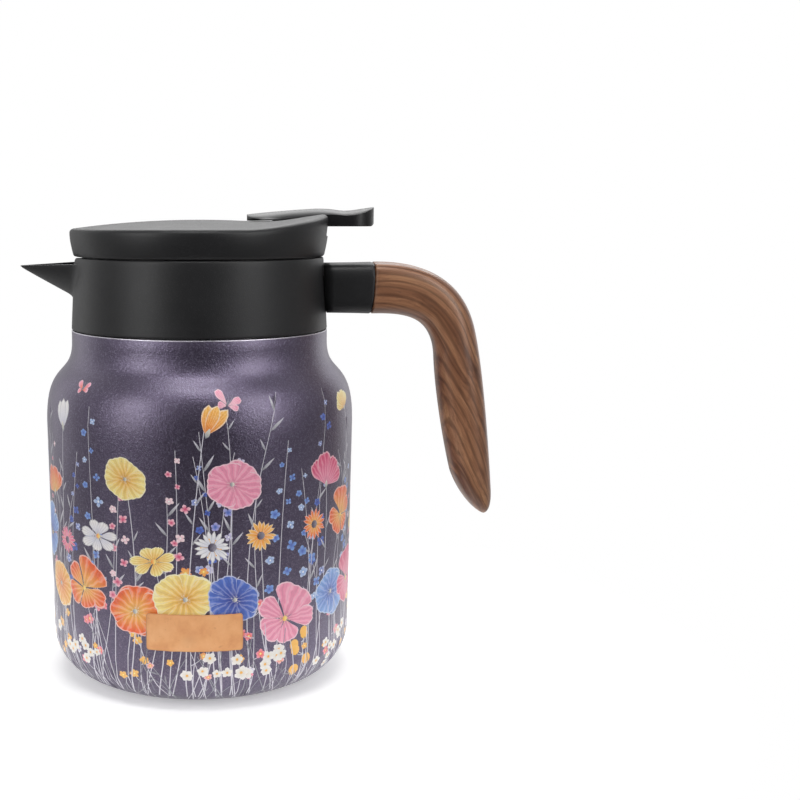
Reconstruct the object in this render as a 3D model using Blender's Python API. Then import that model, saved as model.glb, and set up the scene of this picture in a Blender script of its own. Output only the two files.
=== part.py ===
"""Vacuum-insulated serving jug: a screw-in lid, a thumb lever that lifts a pouring valve, a wooden grip.

Frame: metres, +Z up. The origin is the centre of the foot pad's underside. The spout points along -X and
the handle along +X. Lengths below are in millimetres, and MM turns them into metres where meshes are made.
"""

import math

import bmesh
import bpy
from mathutils import Matrix, Vector

MM = 0.001
SEGMENTS = 48
CLEARANCE = 0.3

# Flask: outer shell, inner liner and the vacuum space between them
STEEL_WALL = 0.8
BODY_RADIUS = 60.0
BODY_WIDEST_Z = 99.7
SHELL_BASE_Z = 0.6
CORNER_RADIUS = 16.4
CORNER_TOP_RADIUS = 59.0
BASE_OPENING_RADIUS = 38.5
NECK_RADIUS = 49.75
NECK_LOW_Z = 130.6
NECK_STEP_Z = 135.05
SPIGOT_RADIUS = 46.2
RIM_Z = 149.2
LINER_RADIUS = 55.5
LINER_BASE_Z = 8.0
LINER_NECK_RADIUS = 44.7
LINER_SHOULDER_LOW_Z = 96.0
LINER_SHOULDER_TOP_Z = 128.0

# Collar, spout and the threaded sleeve in the flask's mouth
COLLAR_BASE_Z = 135.35
COLLAR_TOP_Z = 162.7
COLLAR_TOP_RADIUS = 48.2
COLLAR_BORE = 43.0
COLLAR_SHELF_Z = 152.9
LID_SEAT_RADIUS = 45.6
LID_SEAT_Z = 160.5
SPOUT_TIP_X = -70.7
SPOUT_ROOT_X = -46.0
SPOUT_TOP_Z = 160.3
SPOUT_DROP = 1.2
SPOUT_HALF_WIDTH = 17.0
SPOUT_DEPTH = 14.6
SPOUT_SECTION_POWER = 1.7
SPOUT_WALL = 1.5
WINDOW_TOP_Z = 158.8
NOTCH_HALF_WIDTH = 13.0
SLEEVE_BORE = 40.8
SLEEVE_OUTER = 43.2
THREAD_LEAD = 18.0
THREAD_STARTS = 2
RIDGE_Z = 145.0
RIDGE_CREST = 39.4

# Handle
BRACKET_CENTRE_Z = 150.75
BRACKET_END_X = 67.6
BRACKET_HALF_HEIGHT = 9.85
BRACKET_HALF_WIDTH = 10.0
TENON_HALF = 5.5
TENON_END_X = 83.0
INSERT_END_X = 91.0

# Lid: stopper, cover and lever
PLUG_RADIUS = 38.6
PLUG_BASE_Z = 139.0
DECK_Z = 161.5
DECK_TOP_Z = 163.3
PORT_RADIUS = 9.5
LID_BASE_Z = 163.1
LID_BASE_RADIUS = 48.5
LID_RIM_RADIUS = 49.8
LID_RIM_Z = 173.4
LID_DOME = 3.5
LID_TAIL_RISE = 5.5
LID_TAIL_START = 0.38
LID_FLARE = 0.13
LID_WALL = 2.0
SLOT_FRONT_X = 27.5
SLOT_HALF_WIDTH = 10.2
SLOT_FLOOR_Z = 170.6
PIVOT_X = 33.0
PIVOT_Z = 171.0
PIN_RADIUS = 1.4
EAR_INNER_Y = 10.4
EAR_OUTER_Y = 13.0
LEVER_TIP_X = 18.3
LEVER_END_X = 67.6
HEAD_RADIUS = 9.8
TAIL_HALF_WIDTH = 8.8
BOSS_CIRCLE = 32.0
BOSS_ANGLES = (70, 180, 290)

# Valve
STEM_RADIUS = 2.0
STEM_TOP_Z = 168.3
SPRING_RADIUS = 6.2
SPRING_WIRE_RADIUS = 0.45
SPRING_TURNS = 5


# ---------------------------------------------------------------- materials and plain shapes

def material(name, colour, roughness, metallic=0.0):
    made = bpy.data.materials.new(name)
    made.use_nodes = True
    shader = made.node_tree.nodes["Principled BSDF"]
    shader.inputs["Base Color"].default_value = (*colour, 1.0)
    shader.inputs["Roughness"].default_value = roughness
    shader.inputs["Metallic"].default_value = metallic
    return made


def object_from(name, bm, finish=None):
    """Turns a bmesh in millimetres into an object in metres, shaded smooth with sharp edges kept."""
    bmesh.ops.scale(bm, vec=(MM, MM, MM), verts=bm.verts)
    bmesh.ops.recalc_face_normals(bm, faces=bm.faces)
    mesh = bpy.data.meshes.new(name)
    bm.to_mesh(mesh)
    bm.free()
    mesh.shade_smooth()
    mesh.set_sharp_from_angle(angle=math.radians(35))
    made = bpy.data.objects.new(name, mesh)
    if finish:
        mesh.materials.append(finish)
    bpy.context.scene.collection.objects.link(made)
    return made


def arc(centre_r, centre_z, radius, start, end, steps):
    """Points round a centre, from start to end degrees; 0 points along +r and 90 along +z."""
    angles = [math.radians(start + (end - start) * i / steps) for i in range(steps + 1)]
    return [(centre_r + radius * math.cos(a), centre_z + radius * math.sin(a)) for a in angles]


def bezier(p0, p1, p2, p3, steps):
    """Points on a cubic curve, both ends included."""
    points = []
    for i in range(steps + 1):
        t = i / steps
        weights = ((1 - t) ** 3, 3 * t * (1 - t) ** 2, 3 * t * t * (1 - t), t ** 3)
        points.append(tuple(
            sum(w * p[k] for w, p in zip(weights, (p0, p1, p2, p3))) for k in range(2)
        ))
    return points


def lathe(name, profile, finish=None, segments=SEGMENTS):
    """Turns an (r, z) outline about Z. An outline that starts and ends on the axis closes there."""
    bm = bmesh.new()
    points = [bm.verts.new((r, 0, z)) for r, z in profile]
    pairs = list(zip(points, points[1:]))
    if profile[0][0] or profile[-1][0]:
        pairs.append((points[-1], points[0]))
    lines = [bm.edges.new(pair) for pair in pairs]
    bmesh.ops.spin(
        bm, geom=points + lines, cent=(0, 0, 0), axis=(0, 0, 1),
        angle=2 * math.pi, steps=segments, use_merge=True,
    )
    bmesh.ops.remove_doubles(bm, verts=bm.verts, dist=1e-4)
    return object_from(name, bm, finish)


def disc_ring(name, inner, outer, low, high, finish, segments=SEGMENTS):
    """A flat ring, or a plain disc when inner is 0."""
    if inner:
        return lathe(name, [(inner, low), (outer, low), (outer, high), (inner, high)], finish, segments)
    return lathe(name, [(0, low), (outer, low), (outer, high), (0, high)], finish, segments)


def block(name, x, y, z, finish=None):
    """A box between the two values of each axis."""
    bm = bmesh.new()
    bmesh.ops.create_cube(bm, size=1.0)
    size = Vector((x[1] - x[0], y[1] - y[0], z[1] - z[0]))
    centre = Vector((x[0] + x[1], y[0] + y[1], z[0] + z[1])) / 2
    bmesh.ops.scale(bm, vec=size, verts=bm.verts)
    bmesh.ops.translate(bm, vec=centre, verts=bm.verts)
    return object_from(name, bm, finish)


def rod(name, start, end, radius, finish=None, segments=20, head=None):
    """A round bar between two points. head=(radius, length) adds a screw head behind the start."""
    axis = Vector(end) - Vector(start)
    length = axis.length
    profile = [(0, 0), (radius, 0), (radius, length), (0, length)]
    if head:
        profile = [(0, -head[1]), (head[0], -head[1]), (head[0], 0)] + profile[1:]
    made = lathe(name, profile, finish, segments)
    turn = axis.to_track_quat("Z", "Y").to_matrix().to_4x4()
    made.data.transform(Matrix.Translation(Vector(start) * MM) @ turn)
    return made


def prism(name, outline, half_width, finish=None):
    """An (x, z) outline, extruded evenly to both sides of Y = 0."""
    bm = bmesh.new()
    face = bm.faces.new([bm.verts.new((x, -half_width, z)) for x, z in outline])
    pulled = bmesh.ops.extrude_face_region(bm, geom=[face])["geom"]
    moved = [v for v in pulled if isinstance(v, bmesh.types.BMVert)]
    bmesh.ops.translate(bm, vec=(0, 2 * half_width, 0), verts=moved)
    return object_from(name, bm, finish)


def loft(name, sections, finish=None):
    """Skins closed sections of equal length, in order. An end section of one point closes to it."""
    bm = bmesh.new()
    rows = [[bm.verts.new(p) for p in section] for section in sections]
    for low, high in zip(rows, rows[1:]):
        count = max(len(low), len(high))
        for i in range(count):
            j = (i + 1) % count
            if len(high) == 1:
                bm.faces.new((low[i], low[j], high[0]))
            elif len(low) == 1:
                bm.faces.new((low[0], high[j], high[i]))
            else:
                bm.faces.new((low[i], low[j], high[j], high[i]))
    for end in (rows[0], rows[-1]):
        if len(end) > 1:
            bm.faces.new(end)
    return object_from(name, bm, finish)


def superellipse(half_a, half_b, power, count):
    """Points of a rounded box section: power 2 is an ellipse, and larger powers are squarer."""
    points = []
    for i in range(count):
        angle = 2 * math.pi * (i + 0.5) / count
        c, s = math.cos(angle), math.sin(angle)
        points.append((
            half_a * math.copysign(abs(c) ** (2 / power), c),
            half_b * math.copysign(abs(s) ** (2 / power), s),
        ))
    return points


def move_origin(obj, place):
    """Puts an object's origin at a place in millimetres and leaves its shape where it is."""
    offset = Vector(place) * MM
    obj.data.transform(Matrix.Translation(-offset))
    obj.location = offset


def combine(target, tool, operation):
    """Adds a Boolean to target and keeps the tool as a wire helper that isn't rendered."""
    tool.hide_render = True
    tool.display_type = "WIRE"
    change = target.modifiers.new(f"{operation.lower()}_{tool.name}", "BOOLEAN")
    change.operation = operation
    change.object = tool
    return target


def cut(target, tool):
    return combine(target, tool, "DIFFERENCE")


def join(target, tool):
    return combine(target, tool, "UNION")


# ---------------------------------------------------------------- flask

def shoulder(low_radius, low_z, neck_radius, neck_z, steps=9):
    """The S-shaped shoulder, from the body up to the neck."""
    rise = neck_z - low_z
    return bezier(
        (low_radius, low_z), (low_radius, low_z + 0.77 * rise),
        (neck_radius, neck_z - 0.47 * rise), (neck_radius, neck_z), steps,
    )


def make_outer_shell(steel):
    corner_r = CORNER_TOP_RADIUS - CORNER_RADIUS
    corner_z = SHELL_BASE_Z + CORNER_RADIUS
    outside = [(BASE_OPENING_RADIUS, SHELL_BASE_Z)]
    outside += arc(corner_r, corner_z, CORNER_RADIUS, -90, 0, 6)
    outside += shoulder(BODY_RADIUS, BODY_WIDEST_Z, NECK_RADIUS, NECK_LOW_Z)
    outside += [
        (NECK_RADIUS, NECK_STEP_Z - 0.4), (NECK_RADIUS - 0.4, NECK_STEP_Z),
        (SPIGOT_RADIUS, NECK_STEP_Z), (SPIGOT_RADIUS, RIM_Z - STEEL_WALL - CLEARANCE),
    ]
    inside = [
        (SPIGOT_RADIUS - STEEL_WALL, RIM_Z - STEEL_WALL - CLEARANCE),
        (SPIGOT_RADIUS - STEEL_WALL, NECK_STEP_Z - STEEL_WALL),
        (NECK_RADIUS - STEEL_WALL, NECK_STEP_Z - 2 * STEEL_WALL),
    ]
    inside += shoulder(
        BODY_RADIUS - STEEL_WALL, BODY_WIDEST_Z, NECK_RADIUS - STEEL_WALL, NECK_LOW_Z, 6
    )[::-1]
    inside += arc(corner_r, corner_z, CORNER_RADIUS - STEEL_WALL, 0, -90, 4)
    inside += [(BASE_OPENING_RADIUS, SHELL_BASE_Z + STEEL_WALL)]
    return lathe("outer_shell", outside + inside, steel)


def make_inner_liner(steel):
    wall = STEEL_WALL
    corner = 12.0
    corner_z = LINER_BASE_Z + corner
    outside = [(0, LINER_BASE_Z)]
    outside += arc(LINER_RADIUS - corner, corner_z, corner, -90, 0, 4)
    outside += shoulder(LINER_RADIUS, LINER_SHOULDER_LOW_Z, LINER_NECK_RADIUS, LINER_SHOULDER_TOP_Z, 6)
    outside += [
        (LINER_NECK_RADIUS, RIM_Z - wall), (SPIGOT_RADIUS, RIM_Z - wall),
        (SPIGOT_RADIUS, RIM_Z), (LINER_NECK_RADIUS - wall, RIM_Z),
    ]
    inside = shoulder(
        LINER_RADIUS - wall, LINER_SHOULDER_LOW_Z, LINER_NECK_RADIUS - wall, LINER_SHOULDER_TOP_Z, 6
    )[::-1]
    inside += arc(LINER_RADIUS - corner, corner_z, corner - wall, 0, -90, 4)
    inside += [(0, LINER_BASE_Z + wall)]
    return lathe("inner_liner", outside + inside, steel)


def make_base(steel, rubber, glass):
    cap_z = SHELL_BASE_Z + 0.6
    cap_top = cap_z + STEEL_WALL
    disc_ring("base_cap", 0, BASE_OPENING_RADIUS - CLEARANCE, cap_z, cap_top, steel)
    disc_ring("foot_pad", 0, 36.0, 0, cap_z - CLEARANCE, rubber)
    disc_ring("vacuum_seal_bead", 0, 3.0, cap_top + CLEARANCE, cap_top + 1.3, glass, 16)
    getter = disc_ring("getter_pellet", 0, 4.0, cap_top + CLEARANCE, cap_top + 2.3, steel, 16)
    getter.location.x = 16 * MM


def make_name_patch(leather):
    """The blank patch on the front of the body: a thin plate that follows the shell."""
    low_z, high_z, half_angle = 24.3, 38.0, 16.8
    steps = 10
    sections = []
    for i in range(steps + 1):
        angle = math.radians(-90 - half_angle + 2 * half_angle * i / steps)
        section = []
        for z, proud in ((low_z, CLEARANCE), (low_z, 0.7), (high_z, 0.7), (high_z, CLEARANCE)):
            slope = (z - SHELL_BASE_Z - CORNER_RADIUS) / (BODY_WIDEST_Z - SHELL_BASE_Z - CORNER_RADIUS)
            radius = CORNER_TOP_RADIUS + (BODY_RADIUS - CORNER_TOP_RADIUS) * slope + proud
            section.append((radius * math.cos(angle), radius * math.sin(angle), z))
        sections.append(section)
    loft("name_patch", sections, leather)


# ---------------------------------------------------------------- collar, spout and sleeve

def spout_cone(name, shrink, rise, front_x, back_x):
    """Half of a pointed cone under a flat top that falls a little towards the tip.

    shrink takes a wall's thickness off all round, and rise carries the sides straight up past the top.
    """
    sections = []
    for x in (front_x, back_x):
        share = (x - SPOUT_TIP_X) / (SPOUT_ROOT_X - SPOUT_TIP_X)
        width = SPOUT_HALF_WIDTH * share - shrink
        depth = SPOUT_DEPTH * share - shrink
        top = SPOUT_TOP_Z - SPOUT_DROP * (1 - share)
        section = []
        for i in range(13):
            angle = math.pi * i / 12
            c, s = math.cos(angle), math.sin(angle)
            y = width * math.copysign(abs(c) ** (2 / SPOUT_SECTION_POWER), c)
            section.append((x, y, top - depth * s ** (2 / SPOUT_SECTION_POWER)))
        if rise:
            section += [(x, -width, top + rise), (x, width, top + rise)]
        sections.append(section)
    return loft(name, sections)


def make_collar(plastic):
    collar = lathe("collar", [
        (SPIGOT_RADIUS + 0.5, COLLAR_BASE_Z), (NECK_RADIUS - 0.3, COLLAR_BASE_Z),
        (NECK_RADIUS, COLLAR_BASE_Z + 0.3), (COLLAR_TOP_RADIUS, COLLAR_TOP_Z - 0.6),
        (COLLAR_TOP_RADIUS - 0.6, COLLAR_TOP_Z), (LID_SEAT_RADIUS, COLLAR_TOP_Z),
        (LID_SEAT_RADIUS, LID_SEAT_Z), (COLLAR_BORE, LID_SEAT_Z), (COLLAR_BORE, COLLAR_SHELF_Z),
        (SPIGOT_RADIUS + 0.5, COLLAR_SHELF_Z),
    ], plastic)
    spout = spout_cone("spout_body", 0, 0, SPOUT_TIP_X + 0.6, -43.0)
    join(collar, cut(spout, disc_ring("spout_back", 0, SPIGOT_RADIUS + 0.7, 130, 170, None)))
    channel = spout_cone("spout_channel", SPOUT_WALL, 3, SPOUT_TIP_X + 3.4, -42.0)
    rim = disc_ring("channel_limit", 0, COLLAR_TOP_RADIUS + 0.4, SPOUT_TOP_Z - 20, SPOUT_TOP_Z + 9, None)
    cut(collar, cut(channel, rim))
    window = block("spout_window", (-52, -38), (-9, 9), (COLLAR_SHELF_Z + 0.5, WINDOW_TOP_Z))
    cut(collar, window)
    notch = prism("spout_notch", [
        (-NOTCH_HALF_WIDTH, COLLAR_TOP_Z + 1), (-0.72 * NOTCH_HALF_WIDTH, SPOUT_TOP_Z + 0.2),
        (0.72 * NOTCH_HALF_WIDTH, SPOUT_TOP_Z + 0.2), (NOTCH_HALF_WIDTH, COLLAR_TOP_Z + 1),
    ], 4)
    notch.matrix_world = Matrix.Translation((-49.8 * MM, 0, 0)) @ Matrix.Rotation(math.pi / 2, 4, "Z")
    cut(collar, notch)
    for side in (-1, 1):
        y, z = side * 6, 156.8
        cut(collar, rod(f"collar_screw_way_{side}", (45.2, y, z), (56, y, z), 2.1, head=(3.8, 5.2)))


def helical_bar(name, start_degrees, sweep, middle_z, root, crest, root_half, crest_half):
    """A trapezoid bar along the thread's helix, from the root radius to the crest radius."""
    steps = max(4, round(sweep / 9))
    sections = []
    for i in range(steps + 1):
        turn = start_degrees + sweep * i / steps
        angle = math.radians(turn)
        z = middle_z + THREAD_LEAD * (sweep * i / steps) / 360
        sections.append([
            (radius * math.cos(angle), radius * math.sin(angle), z + rise)
            for radius, rise in (
                (root, -root_half), (crest, -crest_half), (crest, crest_half), (root, root_half)
            )
        ])
    return loft(name, sections)


def make_sleeve(plastic, silicone):
    flange_z = RIM_Z + 1.7
    sleeve = lathe("pour_sleeve", [
        (36.2, 137.4), (SLEEVE_OUTER, 137.4), (SLEEVE_OUTER, flange_z), (SPIGOT_RADIUS, flange_z),
        (SPIGOT_RADIUS, COLLAR_SHELF_Z - CLEARANCE), (SLEEVE_BORE, COLLAR_SHELF_Z - CLEARANCE),
        (SLEEVE_BORE, 138.8), (36.2, 138.8),
    ], plastic)
    for start in range(THREAD_STARTS):
        bar = helical_bar(
            f"sleeve_ridge_{start}", 180 * start, 100, RIDGE_Z, SLEEVE_BORE + 0.8, RIDGE_CREST, 1.3, 0.7
        )
        join(sleeve, bar)
    disc_ring("rim_gasket", 43.9, 46.0, RIM_Z + CLEARANCE, flange_z - CLEARANCE, silicone)


# ---------------------------------------------------------------- handle

def make_bracket(plastic, steel):
    """The black arm that carries the grip, with a tenon that enters the wood."""
    sections = []
    for x, scale in ((44.0, 0.97), (BRACKET_END_X - 1.0, 1.0), (BRACKET_END_X, 0.97)):
        outline = superellipse(BRACKET_HALF_WIDTH * scale, BRACKET_HALF_HEIGHT * scale, 4.5, 28)
        sections.append([(x, y, BRACKET_CENTRE_Z + z) for y, z in outline])
    bracket = loft("handle_bracket", sections, plastic)
    taper = (NECK_RADIUS - COLLAR_TOP_RADIUS) / (COLLAR_TOP_Z - COLLAR_BASE_Z)
    bed = lathe("bracket_bed", [
        (0, 130), (NECK_RADIUS + CLEARANCE + 5.35 * taper, 130),
        (COLLAR_TOP_RADIUS + CLEARANCE, COLLAR_TOP_Z), (0, COLLAR_TOP_Z),
    ], segments=2 * SEGMENTS)
    tenon = block(
        "bracket_tenon", (60, TENON_END_X), (-TENON_HALF, TENON_HALF),
        (BRACKET_CENTRE_Z - TENON_HALF, BRACKET_CENTRE_Z + TENON_HALF),
    )
    cut(join(bracket, tenon), bed)
    bolt_z = BRACKET_CENTRE_Z
    cut(bracket, rod("bolt_way", (54.7, 0, bolt_z), (90, 0, bolt_z), 2.35, head=(3.85, 14)))
    rod("grip_bolt", (54.4, 0, bolt_z), (89, 0, bolt_z), 2.0, steel, head=(3.5, 2.6))
    for side, label in ((-1, "near"), (1, "far")):
        y, z = side * 6, 156.8
        cut(bracket, rod(f"screw_way_{label}", (44, y, z), (61, y, z), 2.05))
        rod(f"bracket_screw_{label}", (44.9, y, z), (60, y, z), 1.7, steel, head=(3.4, 2.0))


def grip_edges():
    """The grip's outer and inner edges in the XZ plane, as matched runs of points from bracket to tip."""
    tip = (112.6, 61.0)
    joint = BRACKET_END_X + CLEARANCE
    outer = (
        ((joint, 160.7), (88.0, 161.2), (101.5, 153.6), (106.8, 137.6)),
        ((106.8, 137.6), (110.0, 127.5), (113.5, 100.0), (115.7, 71.0)),
        ((115.7, 71.0), (116.1, 66.0), (115.5, 61.2), tip),
    )
    inner = (
        ((joint, 140.9), (81.0, 141.2), (91.0, 139.0), (92.0, 124.5)),
        ((92.0, 124.5), (92.6, 112.0), (96.0, 92.0), (99.5, 78.0)),
        ((99.5, 78.0), (102.0, 71.0), (107.0, 63.5), tip),
    )
    steps = (8, 5, 6)
    runs = []
    for side in (outer, inner):
        run = [side[0][0]]
        for curve, count in zip(side, steps):
            run += bezier(*curve, count)[1:]
        runs.append(run)
    return list(zip(*runs))


def make_grip(wood, brass):
    pairs = grip_edges()
    taper_from = len(pairs) - 7
    sections = []
    for i, (outer, inner) in enumerate(pairs[:-1]):
        outer, inner = Vector(outer), Vector(inner)
        centre, half = (outer + inner) / 2, (outer - inner) / 2
        power = 2.4 + 2.1 * max(0.0, 1 - i / 8)
        fade = max(0, i - taper_from) / (len(pairs) - 1 - taper_from)
        width = (BRACKET_HALF_WIDTH - 0.06 * min(i, 8)) * math.sqrt(1 - fade ** 2)
        section = []
        for y, h in superellipse(width, 1.0, power, 20):
            point = centre + half * h
            section.append((point.x, y, point.y))
        sections.append(section)
    tip = pairs[-1][0]
    sections.append([(tip[0], 0, tip[1])])
    grip = loft("wood_grip", sections, wood)
    pocket = TENON_HALF + 0.4
    cut(grip, block(
        "grip_pocket", (60, TENON_END_X + 0.4), (-pocket, pocket),
        (BRACKET_CENTRE_Z - pocket, BRACKET_CENTRE_Z + pocket),
    ))
    cut(grip, rod(
        "insert_pocket", (80, 0, BRACKET_CENTRE_Z), (INSERT_END_X + 0.4, 0, BRACKET_CENTRE_Z), 3.6
    ))
    insert = rod(
        "grip_insert", (TENON_END_X + 0.8, 0, BRACKET_CENTRE_Z), (INSERT_END_X, 0, BRACKET_CENTRE_Z),
        3.2, brass,
    )
    cut(insert, rod("insert_bore", (80, 0, BRACKET_CENTRE_Z), (89.5, 0, BRACKET_CENTRE_Z), 2.35))


# ---------------------------------------------------------------- lid

def tail_rise(x):
    """How far the lid's top and rim rise above their level towards the handle."""
    share = max(0.0, (x / 50 - LID_TAIL_START) / (1 - LID_TAIL_START))
    return LID_TAIL_RISE * share ** 1.6


def lid_top(x, y):
    return LID_RIM_Z + LID_DOME * (1 - (x * x + y * y) / 2500) + tail_rise(x)


def make_lid_cover(plastic):
    """A domed shell, open below, whose rim sweeps up on both sides of the lever's slot."""
    wall_rings = (
        (LID_BASE_RADIUS - 0.8, LID_BASE_Z, 0), (LID_BASE_RADIUS, LID_BASE_Z + 0.7, 0),
        (LID_RIM_RADIUS, LID_RIM_Z - 1.4, 1), (LID_RIM_RADIUS - 0.4, LID_RIM_Z - 0.5, 1),
    )
    inner_rings = (
        (LID_BASE_RADIUS - LID_WALL, LID_BASE_Z, 0), (LID_RIM_RADIUS - LID_WALL, LID_RIM_Z - 2.8, 1),
    )
    top_radii = (48.2, 44.0, 38.0, 31.0, 24.0, 16.0, 8.0)

    def ring(radius, height, flare=0.0):
        """One round of points, each pushed out by flare times the rise of the rim there."""
        points = []
        for i in range(SEGMENTS):
            angle = 2 * math.pi * i / SEGMENTS
            reach = radius + flare * tail_rise(radius * math.cos(angle))
            x, y = reach * math.cos(angle), reach * math.sin(angle)
            points.append((x, y, height(x, y)))
        return points

    def wall(radius, z, follows):
        return ring(radius, lambda x, y: z + follows * tail_rise(x), follows * LID_FLARE)

    rows = [[(0, 0, lid_top(0, 0) - LID_WALL)]]
    rows += [ring(r, lambda x, y: lid_top(x, y) - LID_WALL) for r in top_radii[:0:-1]]
    rows += [wall(*values) for values in inner_rings[::-1]]
    rows += [wall(*values) for values in wall_rings]
    rows += [ring(r, lid_top) for r in top_radii]
    rows.append([(0, 0, lid_top(0, 0))])
    cover = loft("lid_cover", rows, plastic)
    for i, angle in enumerate(BOSS_ANGLES):
        x, y = BOSS_CIRCLE * math.cos(math.radians(angle)), BOSS_CIRCLE * math.sin(math.radians(angle))
        roof = lid_top(x, y) - LID_WALL / 2
        low = DECK_TOP_Z + CLEARANCE
        outline = [(0, 172.2), (1.6, 172.2), (1.6, low), (3.6, low), (3.6, roof), (0, roof)]
        boss = lathe(f"cover_boss_{i}", outline, segments=20)
        boss.location = (x * MM, y * MM, 0)
        join(cover, boss)
    for side in (-1, 1):
        span = sorted((side * EAR_INNER_Y, side * EAR_OUTER_Y))
        join(cover, block(f"pivot_ear_{side}", (28.5, 37.5), span, (167.0, 176.4)))
    cut(cover, block(
        "lever_slot", (SLOT_FRONT_X, 60), (-SLOT_HALF_WIDTH, SLOT_HALF_WIDTH), (SLOT_FLOOR_Z, 190)
    ))
    cut(cover, rod("pin_way", (PIVOT_X, -30, PIVOT_Z), (PIVOT_X, 30, PIVOT_Z), PIN_RADIUS + 0.3))


def make_stopper(plastic, silicone, steel):
    spigot = 34.9
    stopper = lathe("stopper", [
        (PORT_RADIUS, PLUG_BASE_Z), (spigot, PLUG_BASE_Z), (spigot, 141.6), (PLUG_RADIUS, 141.6),
        (PLUG_RADIUS, 161.9), (LID_SEAT_RADIUS - CLEARANCE, 161.9),
        (LID_SEAT_RADIUS - CLEARANCE, DECK_TOP_Z),
        (STEM_RADIUS + 0.6, DECK_TOP_Z), (STEM_RADIUS + 0.6, DECK_Z), (PLUG_RADIUS - 1.8, DECK_Z),
        (PLUG_RADIUS - 1.8, 143.4), (spigot - 1.8, 143.4), (spigot - 1.8, PLUG_BASE_Z + 2),
        (PORT_RADIUS, PLUG_BASE_Z + 2),
    ], plastic)
    for start in range(THREAD_STARTS):
        join(stopper, helical_bar(
            f"stopper_lug_{start}", 180 * start + 30, 55,
            RIDGE_Z - 2.7 + THREAD_LEAD * 30 / 360, PLUG_RADIUS - 0.8, 40.2, 1.2, 0.6,
        ))
    for i, angle in enumerate((60, 180, 300)):
        window = block(f"stopper_window_{i}", (30, 45), (-12, 12), (150.5, 159.5))
        window.rotation_euler.z = math.radians(angle)
        cut(stopper, window)
    for i, angle in enumerate(BOSS_ANGLES):
        x, y = BOSS_CIRCLE * math.cos(math.radians(angle)), BOSS_CIRCLE * math.sin(math.radians(angle))
        cut(stopper, rod(f"deck_hole_{i}", (x, y, 158), (x, y, 166), 1.6))
        low = DECK_Z - CLEARANCE
        rod(f"lid_screw_{i + 1}", (x, y, low), (x, y, 171.5), 1.25, steel, 16, head=(2.8, 1.8))
    disc_ring("plug_gasket", spigot + CLEARANCE, 38.4, 139.1, 141.3, silicone)
    disc_ring("lid_gasket", COLLAR_BORE + 0.2, LID_SEAT_RADIUS - 0.4, LID_SEAT_Z + 0.2, 161.6, silicone)


def lever_half_width(x):
    head_x = LEVER_TIP_X + HEAD_RADIUS
    tail_x = LEVER_END_X - TAIL_HALF_WIDTH
    if x <= head_x:
        return math.sqrt(max(0.0, HEAD_RADIUS ** 2 - (x - head_x) ** 2))
    if x >= tail_x:
        return math.sqrt(max(0.0, TAIL_HALF_WIDTH ** 2 - (x - tail_x) ** 2))
    share = min(1.0, (x - head_x) / 5)
    return HEAD_RADIUS + (TAIL_HALF_WIDTH - HEAD_RADIUS) * share


def lever_crest(x):
    """Height of the lever's top along its middle: a long climb, a dip for the thumb and a raised end."""
    climb = min(1.0, (x - LEVER_TIP_X) / 27)
    crown = 178.95 + 2.25 * climb * (1.35 - 0.35 * climb)
    dip = 0.85 * math.exp(-((x - 56.5) / 5) ** 2)
    return crown - dip + 0.5 * (max(0.0, x - 60) / 7) ** 2


def lever_floor(x):
    """Height of the lever's underside: just above the lid in front, and a deep beam through the slot."""
    over_lid = lid_top(x, 0) + 0.5
    share = min(1.0, max(0.0, (x - 27.9) / 6))
    return over_lid + (174.4 - over_lid) * share


def make_lever(plastic, steel):
    stations = (18.6, 20.2, 23, 26, 27.9, 29.5, 32, 34.2, 40, 46, 52, 57, 60, 62.5, 65, 66.6, 67.4)
    crown_steps = (1.0, 0.55, 0.0, -0.55, -1.0)
    sections = []
    for x in stations:
        width, crest, floor = lever_half_width(x), lever_crest(x), lever_floor(x)
        edge = max(floor + 0.9, crest - 1.8 * min(1.0, (LEVER_END_X - x) / 10))
        section = [(x, -width, floor), (x, width, floor)]
        section += [(x, width * k, edge + (crest - edge) * (1 - k * k)) for k in crown_steps]
        sections.append(section)
    lever = loft("thumb_lever", sections, plastic)
    join(lever, block("lever_web", (28.6, 37.5), (-7.5, 7.5), (171, 178.2)))
    join(lever, rod("lever_hub", (PIVOT_X, -9, PIVOT_Z), (PIVOT_X, 9, PIVOT_Z), 4.2))
    join(lever, prism("lever_arm", [
        (35.0, 172.0), (34.0, 168.0), (30.0, 167.0), (26.0, 163.9), (-0.5, 163.9),
        (-0.5, 166.0), (24.5, 166.0), (28.0, 169.0), (29.5, 172.0),
    ], 4.5))
    cut(lever, block("fork_slot", (-3, 4.5), (-2.6, 2.6), (160, 170)))
    cut(lever, rod("lever_bore", (PIVOT_X, -20, PIVOT_Z), (PIVOT_X, 20, PIVOT_Z), PIN_RADIUS + 0.25))
    move_origin(lever, (PIVOT_X, 0, PIVOT_Z))
    rod("lever_pin", (PIVOT_X, -EAR_OUTER_Y, PIVOT_Z), (PIVOT_X, EAR_OUTER_Y, PIVOT_Z), PIN_RADIUS, steel)


# ---------------------------------------------------------------- valve

def make_valve(plastic, silicone, steel):
    bore = STEM_RADIUS + CLEARANCE
    rod("valve_stem", (0, 0, 139.3), (0, 0, STEM_TOP_Z), STEM_RADIUS, steel)
    disc_ring("seal_retainer", bore, 8.4, 139.5, 141.0, plastic, 32)
    disc_ring("valve_seal", bore, 13.0, 141.3, 142.5, silicone, 32)
    lathe("valve_disc", [
        (bore, 142.8), (12.6, 142.8), (12.6, 144.6), (4.2, 144.6), (4.2, 147.5), (bore, 147.5),
    ], plastic, 32)
    disc_ring("stem_clip", bore, 4.0, 166.35, 167.5, steel, 24)


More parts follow.
